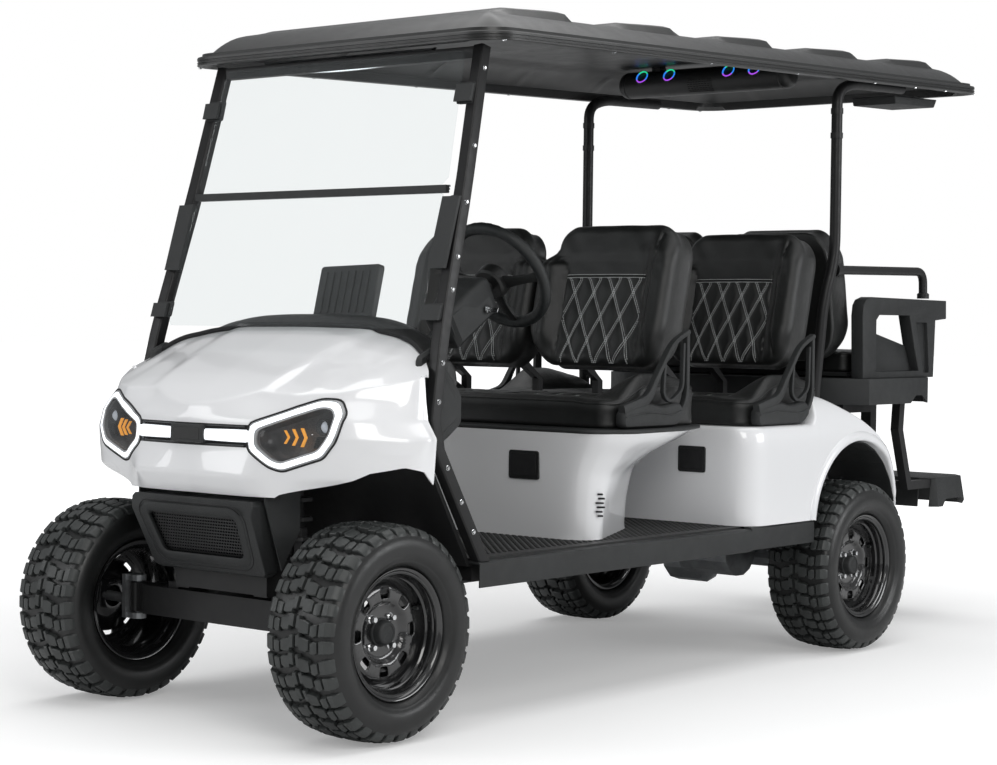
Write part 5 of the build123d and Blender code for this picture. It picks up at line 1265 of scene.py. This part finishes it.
def lean_at(z):
    """How far the haunch leans in at a height."""
    return 70 * (max(0.0, z - 690) / 152) ** 2


def body_foot(x, y):
    """Lower edge of the rear body at a station: the sill or the wheel arch."""
    reach = ARCH_RADIUS ** 2 - (y - ARCH_Y) ** 2
    return max(SILL, ARCH_Z + math.sqrt(reach)) if reach > 0 and x > 400 else SILL


def rear_body():
    """Rear body: level front, haunches over flared arches, and a falling tail."""
    stations = [(x, BODY_FRONT_Y, 0.0, 1.0) for x in evenly(0, 514, 22)[:-1]]
    stations += [(514 + 86 * math.sin(a), 1660 - 88 * math.cos(a), -math.sin(a), math.cos(a))
                 for a in evenly(0, math.pi / 2, 12)]
    stations += [(BODY_HALF, y, -1.0, 0.0) for y in evenly(1660, 1944, 20)[1:-1]]
    stations += [(BODY_HALF - between(TAIL[:3], y), y, -1.0, 0.0) for y in (
        ARCH_Y - ARCH_RADIUS * math.cos(math.radians(a)) for a in evenly(6.65, 173.35, 56))]
    stations += [(between(((2496, 574), (2524, 562), (2541, 540)), y), y, -0.8, -0.6)
                 for y in (2503, 2510, 2518, 2526, 2534, 2540)]
    stations += [(x, BODY_REAR_Y, 0.0, -1.0) for x in evenly(530, 0, 12)]
    columns = []
    for x, y, nx, ny in stations:
        top = between(BODY_TOP, y)
        foot = min(body_foot(x, y), top - 8)
        column = [Vector((x + nx * lean_at(z), y + ny * lean_at(z) * abs(nx), z))
                  for z in evenly(foot, top, 26)]
        edge = column[-1]
        for k in range(1, 9):
            y_in = edge.y + ny * 8 * k
            column.append(Vector((max(edge.x + nx * 8 * k, 0.0) if x > 0 else 0.0, y_in,
                                  between(BODY_TOP, y_in))))
        columns.append(column)
    for side, label in SIDES:
        rows = [[Vector((p.x * side, p.y, p.z)) for p in row] for row in zip(*columns)]
        shell([row[::side] for row in eased_grid(rows, 7)]).make(
            "rear_body_" + label, WHITE, node="rear_body")
    deck = shell([[Vector((x, y, between(BODY_TOP, y) - 1.5 - 40 * ramp(500, 545, abs(x))))
                   for x in evenly(-545, 545, 24)] for y in evenly(2162, 2538, 30)])
    deck.merge(slab(rect(-534, 1590, 534, 2163), 747, 751.4, 1))
    deck.merge(slab(rect(-534, 749, 534, 800), 2160, 2165, 1, "y"))
    deck.make("rear_body_deck", WHITE)
    lip = []
    for a in (math.radians(a) for a in evenly(6.4, 173.6, 80)):
        ring = []
        for r, x in ((274, 556), (274, 598), (275.5, 604), (280, 608), (288, 609), (297, 606.5),
                     (306, 600), (308, 592), (290, 556)):
            y, z = ARCH_Y - r * math.cos(a), ARCH_Z + r * math.sin(a)
            ring.append((x - lean_at(z) - between(TAIL, y), y, z))
        lip.append(ring)
    loft(lip).mirrored().make("rear_arch_lips", WHITE, 45)


def panel_face(host, x, z, start):
    """Station at which a panel is met by a line running rearward."""
    bpy.context.view_layer.update()
    found, spot, _, _ = bpy.data.objects[host].ray_cast(at(x, start, z), Vector((0, 1, 0)))
    return spot.y * 1000 + AXLE_STATION if found else start


def mat_studs():
    """Rows of low studs moulded in the floor mat."""
    low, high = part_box("floor_mat")
    pitch = 0.024
    stud = loft([[(x, y, z) for x, y in rect(-w, -d, w, d)]
                 for w, d, z in ((7, 2.6, -0.5), (6, 1.6, 2.2))])
    studs = grow(rough_piece("floor_mat_studs", stud, MILLIMETRE), row_tree(MAT), {
        "Columns": int((high[0] - low[0] - 0.05) / pitch),
        "Rows": int((high[1] - low[1] - 0.03) / (pitch / 2)),
        "Column step": (pitch, 0, 0), "Row step": (0, pitch / 2, 0), "Stagger": 0.5}, MAT, 20)
    shift_mesh(studs, Vector((low[0] + 0.02, low[1] + 0.015, high[2])))


def pod_details():
    """Access covers in the pods and the staggered vent slots."""
    for name, shape, y in (
            ("front_cover", rect(229, 613, 341, 696), panel_face("seat_base_front", 285, 654, 600)),
            ("rear_cover", rect(331, 606, 434, 687), BODY_FRONT_Y)):
        slab(rounded(shape, 9, 5), y - 4, y + 14, 1.4, "y").make(name, DASH, 30)
        slab(rounded(grown(shape, -9), 6, 5), y - 5.2, y - 3, 0.7, "y").make(
            name + "_panel", BLACK_AND_SLOT_SHADE, 30)
    # the vent slots are dark slabs: painted shade standing for the open slots
    vents = Form()
    for k in range(6):
        half = 13 - abs(k - 2.5) * 2
        vents.merge(slab(rect(-half, -2.6, half, 2.6, 2.4), -4, 3, 0.5, "y"),
                    moved(511.5 - k * 0.75, 928 + 7 * (k % 2), 578 - k * 12.5)
                    @ Matrix.Rotation(0.72, 4, "Z"))
    vents.make("pod_vent_slots", BLACK_AND_SLOT_SHADE, 30)


front_pod()
rear_body()
pod_details()
mat_studs()


# ------------------------------------------------------------------ roof
ROOF_LENGTH = 2730.0
ROOF_PLACE = station(0, 326.0, 1806.0) @ Matrix.Rotation(math.atan(86.0 / ROOF_LENGTH), 4, "X")


def roof_rise(edge):
    """How far the roof's crown has risen at a distance from its outline."""
    return 62 * (1 - (1 - min((edge - 40) / 150, 1.0)) ** 2.3)


def roof_top(edge, x, y):
    """Height of the roof's upper face."""
    if edge <= 2:
        return 23 + 1.5 * edge
    if edge <= 40:
        return 26 + 10 * min(max(edge - 14, 0) / 1.5, 1) if edge <= 15.4 else 36.0
    height = 36 + roof_rise(edge)
    for index in range(5):
        along = y - ROOF_LENGTH * (index + 0.62) / 5.25
        inside = ramp(0, 20, 478 - abs(x)) * ramp(-165, -95, along) * ramp(0, 20, 168 - along)
        height += (114 + 4 * math.sin(along * 0.01) - height) * inside
    return height


def roof_under(edge, x, y):
    """Height of the roof's grooved underside."""
    if edge <= 33:
        return 0.6 if edge > 2 else 2 - 0.7 * edge
    if edge <= 41:
        return 29.0 if edge > 34 else 14.0
    ribs = groove((y + 90) % 455 - 227, 7) + groove(abs(x) - 330, 6)
    return 29 + roof_rise(edge) - 7 * ribs - 5 * groove(edge - 150, 5)


def roof():
    """Moulded roof with a stepped, grooved drip rail, its edge bolts and the long mirror."""
    plan = Pad(600, ROOF_LENGTH, 0, 110, 2, None)
    edges = [0, 2, 13.9, 14, 15.5, 33, 35, 39, 41, 48, 58, 70, 84, 99, 116, 122, 135, 160, 190]
    spots = [[plan.spot(u, v) for u in grid_lines(-600, 600, 200, 22, edges)]
             for v in grid_lines(0, ROOF_LENGTH, 200, 17, edges)]
    top, under = [[[Vector((x, y, height(edge, x, y))) for x, y, edge in row] for row in spots]
                  for height in (roof_top, roof_under)]
    closed_sheet(top, under, [(z, 1, inset) for z, inset in (
        (17, 0), (15.6, 2.6), (12.6, 2.6), (11.2, 0), (9.0, 0), (7.8, 2.2), (5.8, 2.2),
        (4.6, 0))]).make("roof_shell", ROOF, 28, ROOF_PLACE, node="roof")
    copies(bolt_head(5, 3.4), [
        facing((x, y, 0.5), (0, 0, -1)) for x in (-585, 585)
        for y in (60, 540, 1020, 1500, 1980, 2250, 2460, 2670)]).make(
        "roof_edge_bolts", CHROME, 30, ROOF_PLACE)
    loft([[(x, 404 + dy, 1808 - dz * 44 * max(math.cos(math.pi * x / 660), 0) ** 0.35)
           for dy, dz in ((0, 0), (-3, 0.2), (-5, 0.6), (-3, 0.97), (0, 1.0), (4, 0.97), (5, 0.6),
                          (4, 0.1))] for x in evenly(-330, 330, 32)]).make(
        "long_mirror", MIRROR, 40)


def sound_bar():
    """Round-ended speaker bar on its hangers, with cones, lit rings and a vent panel."""
    low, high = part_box("sound_bar")
    z = low[2] * 1000 + 46
    profile = [(-350 + u, r) for u, r in ((0, 0.02), (0, 26), (3, 33), (12, 42), (22, 45.5),
                                          (30, 46), (32, 44), (35, 44), (37, 46))]
    spot = station(0, 2180.0, z)
    turned(profile + [(-a, r) for a, r in reversed(profile)], 64).make(
        "sound_bar_body", DASH, 40, spot, node="sound_bar")
    hangers = Form()
    for x in (-200, 200):
        hangers.merge(slab(rect(x - 18, -20, x + 18, 20, 4), 30, high[2] * 1000 - z, 1.5))
    hangers.make("sound_bar_hangers", STEEL, 30, spot)
    cone = turned([(-41, 27), (-46, 27), (-49.5, 25.5), (-49.5, 22), (-45, 20), (-38, 10),
                   (-40, 5), (-42, 0.02)], 40, "y")
    places = [moved(x, 0, 0) @ swung(-28) for x in (-241, -126, 118, 222)]
    copies(cone, places).make("speaker_cones", BLACK_AND_SLOT_SHADE, 40, spot)
    for name, spans in (("green", ((25, 140),)), ("blue", ((140, 215), (-35, 25))),
                        ("purple", ((215, 325),))):
        ring = Form()
        for span in spans:
            ring.merge(rod([(21.5 * math.cos(a), -49.2, 21.5 * math.sin(a))
                            for a in evenly(*map(math.radians, span), 14)], 2.6, 8))
        copies(ring, places).make("speaker_ring_" + name, RINGS[name], 60, spot)
    # the vent slots are dark bars: painted shade standing for the openings
    vents = Form()
    for x in evenly(-46, 46, 8):
        for degrees in evenly(-55, -1, 6):
            a = math.radians(degrees)
            vents.merge(rod([(x + dx, -46.6 * math.cos(a), 46.6 * math.sin(a))
                             for dx in (-3.6, 3.6)], 1.3, 6))
    vents.make("sound_bar_vents", BLACK_AND_SLOT_SHADE, 60, spot)


def tubes():
    """Rear struts and hoops as smooth bent tube, with their foot plates and end plugs."""
    x, y = 512, 2190
    strut = rod(bend([(470, 2132, 753), (496, 2152, 1150), (x, y, 1290), (x, y, 1836),
                      (x, 2280, 1868), (x, 2610, 1879)], 70, 9), 18, 22)
    strut.mirrored().make("rear_strut_tubes", STEEL, 50, node="rear_struts")
    plates = slab(rect(430, 2092, 510, 2172, 12), 752.4, 758, 1.5)
    plates.merge(copies(bolt_head(5, 5), [moved(bolt_x, bolt_y, 758) for bolt_x in (444, 496)
                                          for bolt_y in (2106, 2158)]))
    plates.merge(copies(turned([(-9, 18.2), (-9, 20.5), (9, 20.5), (9, 18.2)], 28, "z"),
                        [moved(x, y, 1690), moved(x, y, 1770)]))
    plates.mirrored().make("rear_strut_fittings", STEEL, 40)
    x = 500
    hoop = rod(bend([(x, 2209, 1250), (x, 2805, 1258), (x, 2808, 1164.3)], 60, 10), 15, 20)
    hoop.merge(turned([(-6, 15), (-6, 21), (10, 21), (14, 16)], 24, "z"), moved(x, 2808, 1170))
    hoop.merge(turned([(-14, 19), (-14, 22), (14, 22), (14, 19)], 24, "y"), moved(x, 2222, 1250))
    hoop.mirrored().make("rear_hoop_tubes", STEEL, 50, node="rear_hoops")


COLUMN_TILT, GRIP_RADIUS = 33, 156.0


def steering():
    """Steering wheel with its padded grip and spokes; the column's shroud, key and stalk."""
    place = station(275.0, 748.0, 1199.0) @ swung(COLUMN_TILT - 90)
    rings = []
    for a in evenly(0, FULL_TURN, 120):
        thick = 16.2 + 1.1 * math.cos(3 * a + math.pi / 2) ** 2 + 0.5 * math.sin(40 * a)
        ring = []
        for b in evenly(0, FULL_TURN, 16)[:-1]:
            r = GRIP_RADIUS + thick * math.cos(b)
            ring.append((r * math.cos(a), r * math.sin(a), thick * math.sin(b)))
        rings.append(ring)
    wheel = {"place": place, "body": "steering_wheel"}
    loft(rings, caps=False).make("steering_grip", GRIP, 60, node="steering_wheel", **wheel)
    hub = turned([(-70, 14), (-56, 16), (-56, 44), (-50, 50), (-22, 51), (-13, 47), (-9, 38),
                  (-8, 36), (-10, 34), (-10, 10), (-9.4, 0.02)], 56, "z")
    section = ((-1, -4), (-0.9, 4), (-0.6, 7), (-0.35, 5), (0.35, 5), (0.6, 7), (0.9, 4), (1, -4),
               (0.6, -6), (-0.6, -6))
    spoke = loft([[(40 + 112 * t, (21 - 8 * math.sin(t * math.pi * 0.75)) * u,
                    -34 + 30 * t ** 1.3 + w) for u, w in section] for t in evenly(0, 1, 10)])
    hub.merge(copies(spoke, [swung(degrees, "Z") for degrees in (0, 90, 180)]))
    hub.make("steering_spokes", DASH, 35, **wheel)
    shroud = []
    for z, wide, tall, lift in ((-300, 34, 36, 0), (-292, 46, 48, 0), (-250, 52, 55, -3),
                                (-180, 56, 60, -6), (-120, 56, 58, -6), (-98, 50, 50, -4),
                                (-90, 36, 36, 0)):
        shape = rounded([(-wide, lift - tall), (wide, lift - tall), (wide * 0.86, tall + lift),
                         (-wide * 0.86, tall + lift)], 18, 5)
        shroud.append([(*p, z) for p in shape])
    loft(shroud).make("column_shroud", PLASTIC, 40, place)
    key = turned([(0, 13), (5, 13), (6, 10), (12, 9.4), (12.4, 0.02)], 24, "z")
    key.merge(slab(rect(-2, -8, 2, 8), 12, 34, 1.2))
    key.make("key_switch", CHROME, 35, place @ facing((52, 20, -150), (1, 0.3, 0.4)))
    stalk = rod(bend([(-40, 0, -140), (-96, 0, -126), (-142, -6, -104)], 30), 5, 12)
    stalk.merge(rod([(-118, -3, -116), (-146, -7, -102)], 8, 14))
    stalk.make("column_stalk", DASH, 50, place)


SCREEN_LINE = ((440, 318), (772, 138), (1060, 200), (1416, 306), (1800, 404))


def windshield_trim():
    """Seam rail, clamp pads and the bolts along the struts."""
    def glass(x, z, out=0.0):
        return Vector((x, between(SCREEN_LINE[2:], z) - 5 - out, z))

    def strut_x(z):
        """Middle of a front strut at a height."""
        return 580 - (z - 440) * 0.063

    rail, pads, bolts = Form(), Form(), Form()
    for z in (1408, 1416, 1424):
        rail.merge(rod([glass(-476, z, 3), glass(476, z, 3)], 3.2, 8))
    rail.make("windshield_seam", CAST, 60)
    for z, half, wide in ((1672, 29, 30), (1300, 98, 15), (1092, 22, 30)):
        x = strut_x(z) - 18
        for dz in (14 - half, half - 14) if half > 30 else (0,):
            bolts.merge(bolt_head(5.5, 5), facing(glass(x + 2, z + dz, 16), (0, -1, 0.28)))
        lean = 98 / 384 if z > 1416 else 106 / 356
        pads.merge(loft([[glass(px + (draw if px < x else -draw), z, out)
                          + Vector((0, dz * lean, dz))
                          for px, dz in rect(x - wide, -half, x + wide, half, 7)]
                         for out, draw in ((2, 0), (13, 0), (16, 2.5))]))
    pads.mirrored().make("windshield_pads", PLASTIC, 35)
    bolts.merge(copies(bolt_head(5.2, 4.6), [
        facing((strut_x(z) + 17.5, between(SCREEN_LINE, z), z), (1, 0, 0))
        for z in (520, 600, 690, 860, 960, 1150, 1236, 1380, 1530, 1740)]))
    bolts.mirrored().make("strut_bolts", CHROME, 30)


roof()
sound_bar()
tubes()
steering()
windshield_trim()


# ------------------------------------------------------------------ dash, hip loops and trims
RIBBON = ((-1, -0.5), (-0.82, -0.92), (-0.5, -1), (0.5, -1), (0.82, -0.92), (1, -0.5),
          (1, 0.5), (0.82, 0.92), (0.5, 1), (-0.5, 1), (-0.82, 0.92), (-1, 0.5))


def ribbon(points, wide, thick):
    """A flat rounded strip along a run of points, its broad side across the cart."""
    across, rings = Vector((1, 0, 0)), []
    sizes = thick if isinstance(thick, list) else [thick] * len(points)
    for before, here, after, size in zip(points[:1] + points, points, points[1:] + points[-1:],
                                         sizes):
        up = (after - before).normalized().cross(across).normalized()
        rings.append([here + across * wide / 2 * a + up * size / 2 * b for a, b in RIBBON])
    return loft(rings)


def hip_loops():
    """Hip restraints: a plinth, a sweep that rises to the top and the loop behind it."""
    # runs are (y, z) points in a plane at x
    def run(x, points, radius, steps=6):
        return bend([(x, *p) for p in points], radius, steps)

    x = 559
    sweep = run(x, [(962, 818), (1086, 846), (1122, 905), (1206, 1012), (1284, 1044)], 60, 8)
    arm = ribbon(sweep, 23, [30 - 16 * ramp(0, 0.75, t) for t in evenly(0, 1, len(sweep) - 1)])
    arm.merge(ribbon(run(x, [(1278, 1043), (1279, 850), (1246, 800), (1150, 802)], 36, 8), 21,
                     15))
    arm.merge(ribbon(run(x, [(1168, 948), (1160, 858), (1196, 836), (1258, 872), (1262, 1010)],
                         26, 7), 15, 10))
    arm.merge(slab(rounded([(958, 766), (1222, 766), (1262, 800), (1240, 838), (1150, 826),
                            (1080, 838), (960, 818)], 20, 5), 536.5, 571, 6, "x"))
    arm.merge(rod(run(571.5, [(966, 800), (1090, 812), (1200, 800), (1240, 812)], 40), 2.2, 8))
    copies(arm, [moved(0, 0, 0), moved(0, ROW_PITCH, -12)]).mirrored().make(
        "hip_loops", PLASTIC, 45, node="armrests")


def dash_pocket(x):
    """How far a glove pocket reaches at a station across the dash."""
    return (ramp(150, 165, x) * (1 - ramp(385, 400, x))
            + ramp(-400, -385, x) * (1 - ramp(-165, -150, x)))


def dash():
    """Moulded dash: cowl band under the windshield, rolled rear edge and glove pockets."""
    grid = []
    for x in evenly(-499, 499, 80):
        back = 300 + 160 * (1 - ramp(300, 500, abs(x)))
        fall = (back - 300) * 0.14
        edge = abs(x) / 500
        crown = -6 - 44 * edge ** 2 - 34 * edge ** 6
        front = between(HOOD_BACK, abs(x)) - 6
        profile = [(front, 1000), (front, 1040), (front + 5, 1052), (front + 18, 1059),
                   (290, 1060), (back - 50, 1050 - fall * 6 / 7), (back - 16, 1040 - fall),
                   (back, 1020 - fall), (back + 6, 990), (back - 8, 940), (back - 26, 900),
                   (back - 30, 850), (back - 60, 820), (back - 110, 806)]
        column = [Vector((x, a[0] + (b[0] - a[0]) * t, a[1] + (b[1] - a[1]) * t + crown))
                  for a, b in zip(profile, profile[1:]) for t in evenly(0, 1, 4)[:-1]]
        column.append(Vector((x, profile[-1][0], profile[-1][1] + crown)))
        rise = 35 * (1 - 0.82 * ramp(210, 500, abs(x)))
        for p in column:
            p.z += rise * ramp(front + 4, front + 70, p.y) * ramp(985, 1030, p.z)
            if 830 < p.z < 970 and p.y > 250:
                p.y -= 16 * dash_pocket(x) * ramp(830, 850, p.z) * (1 - ramp(950, 970, p.z))
        grid.append(column)
    grid = eased_grid(grid, 3)
    ends = [[Vector((x, p.y, p.z)) for p in grid[-1]] + [(x, 160, 806), (x, 140, 900)]
            for x in (499.0, 495.0)]
    shell(grid).merge(loft(ends).mirrored()).make("dash_moulding", DASH, node="dashboard",
                                                  slot="dash_plastic")
    seal = [(x, between(HOOD_BACK, abs(x)) - 1) for x in range(-520, 521, 10)]
    rod([(x, y, hood_z(x, y + 1) + 6) for x, y in seal], 7.0).make(
        "hood_rear_seal", BLACK_AND_SLOT_SHADE, 60, slot="dash_plastic")
    side = [(139, 975), (196, 1000), (310, 876), (310, 798), (262, 765), (166, 716), (122, 776)]
    pods = slab(rounded(side, 12), 500.5, 521, 7, "x")
    pods.merge(slab(rounded(grown(side, -26), 10), 519, 526, 3.5, "x"))
    pods.mirrored().make("dash_side_pods", PLASTIC, node="side_pods")


def display():
    """Flat display in a ribbed housing on its stalk."""
    place = station(44, 372, 1142) @ swung(-14) @ swung(-6, "Z")
    case = slab(rect(-125, -78, 125, 78, 12, 5), -13, 11, 4, "y")
    for x in range(-96, 85, 30):
        case.merge(slab(rect(x, -60, x + 8, 60, 3), -17, -12, 1.5, "y"))
    case.merge(slab(rect(-128, -30, -122, 30, 2), -8, 8, 1, "y"))
    case.make("display_case", DASH, 35, place, node="dash_display", slot="display_glass")
    slab(rect(-112, -66, 112, 66, 6), 10.5, 13, 0.8, "y").make("display_panel", SCREEN, 30,
                                                                place)
    stalk = rod(bend([(44, 374, 1046), (44, 374, 1062), (44, 368, 1076)], 10), 12, 18)
    stalk.merge(turned([(0, 26), (4, 26), (8, 20), (8, 12)], 28, "z"), moved(44, 374, 1047))
    stalk.make("display_stalk", DASH, 40, slot="dash_plastic")


hip_loops()
dash()
display()


# ------------------------------------------------------------------ moulded and welded parts
def eased_copy(node, width):
    """A copy of a carried-over solid with its edges rounded over; it stands for the node."""
    source = NODES[node]
    obj = linked(node + "_eased", source.data.copy())

    def join(form):
        form.transform(source.matrix_world)
        bmesh.ops.remove_doubles(form, verts=form.verts, dist=2e-5)
        bmesh.ops.dissolve_limit(form, angle_limit=math.radians(0.8), verts=form.verts,
                                 edges=form.edges)

    worked(obj, join)
    soften = obj.modifiers.new("edges", "BEVEL")
    soften.width, soften.segments = width / 1000, 3
    soften.limit_method, soften.angle_limit = "ANGLE", math.radians(38)
    slot = NODE_SLOTS[node]
    settle(baked(obj, 35), SLOTS[slot], node=node, slot=slot)


for name, width in (("rear_arms", 6), ("rear_tray", 4), ("footstep", 4), ("rocker_panels", 3),
                    ("bumper_fascia", 5), ("roof_rear_box", 4), ("front_struts", 3)):
    eased_copy(name, width)


# ------------------------------------------------------------------ camera, light, floor
def camera():
    """The camera of the standard view."""
    yaw, pitch, roll = (math.radians(a) for a in (39.670, 1.6575, 0.687))
    ahead = Vector((-math.sin(yaw) * math.cos(pitch), math.cos(yaw) * math.cos(pitch),
                    -math.sin(pitch)))
    right = Vector((math.cos(yaw), math.sin(yaw), 0))
    upward = right.cross(ahead)
    right, upward = (right * math.cos(roll) + upward * math.sin(roll),
                     upward * math.cos(roll) - right * math.sin(roll))
    lens = bpy.data.cameras.new("camera")
    lens.lens, lens.sensor_width, lens.clip_end = 79.39, 36.0, 200.0
    obj = bpy.context.scene.camera = linked("camera", lens)
    obj.matrix_world = (moved(4.2842, -5.5877, 1.0753)
                        @ Matrix((right, upward, -ahead)).transposed().to_4x4())


def lights():
    """A large overhead panel, a soft key from the front left and two side fills."""
    for name, place, aim, power, width, height, tint in (
            ("overhead", (0.0, 0.0, 5.2), (0, 0, 0), 232.0, 6.0, 7.0, (1, 1, 1)),
            ("key", (4.6, -4.2, 3.4), (0, 0, 0.9), 92.0, 2.2, 2.6, (1, 0.99, 0.97)),
            ("side", (5.5, 2.4, 2.2), (0, 0.4, 0.8), 104.0, 3.4, 1.8, (0.98, 0.99, 1)),
            ("front", (-3.0, -5.5, 2.2), (0, -1.0, 0.8), 46.0, 3.0, 1.8, (0.98, 0.99, 1))):
        panel = bpy.data.lights.new(name, "AREA")
        panel.shape, panel.size, panel.size_y = "RECTANGLE", width, height
        panel.energy, panel.color = power, tint
        aimed = (Vector(aim) - Vector(place)).to_track_quat("-Z", "Y").to_matrix().to_4x4()
        linked(name, panel).matrix_world = moved(*place) @ aimed
    world = bpy.context.scene.world = bpy.data.worlds.new("studio")
    world.use_nodes = True
    world.node_tree.nodes.clear()
    add = graph(world.node_tree)
    path = add("LightPath").outputs
    seen = maths(add, "MAXIMUM", path["Is Camera Ray"], path["Is Transmission Ray"])
    add("OutputWorld", {"Surface": add("MixShader", {
        0: seen, 1: add("Background", {"Color": (0.30, 0.305, 0.31)}),
        2: add("Background", {"Color": (1, 1, 1)})})})


def floor():
    """A pale floor that brightens with distance, to the eye alone."""
    mat, add = shader("studio_floor", None)
    tint = mixed(add, (0.80, 0.80, 0.80), (0.84, 0.84, 0.84), noise(add, 2.0, 3.0))
    reach = add("VectorMath", {0: add("TexCoord").outputs["Object"]}, operation="LENGTH")
    fade = add("MapRange", {"From Min": 1.6, "From Max": 6.0, "To Min": 0.26, "To Max": 0.95,
                            "Value": reach.outputs["Value"]}, interpolation_type="SMOOTHSTEP")
    power = maths(add, "MULTIPLY", add("LightPath").outputs["Is Camera Ray"], fade)
    add("OutputMaterial", {"Surface": add("AddShader", {
        0: add("BsdfDiffuse", {"Color": tint}), 1: add("Emission", {"Strength": power})})})
    half = 60.0
    ground = raw("floor", [Vector((*p, 0)) for p in rect(-half, -half, half, half)],
                 [(0, 1, 2, 3)])
    ground.data.materials.append(mat)


camera()
lights()
floor()
bpy.context.scene.view_settings.view_transform = "Standard"
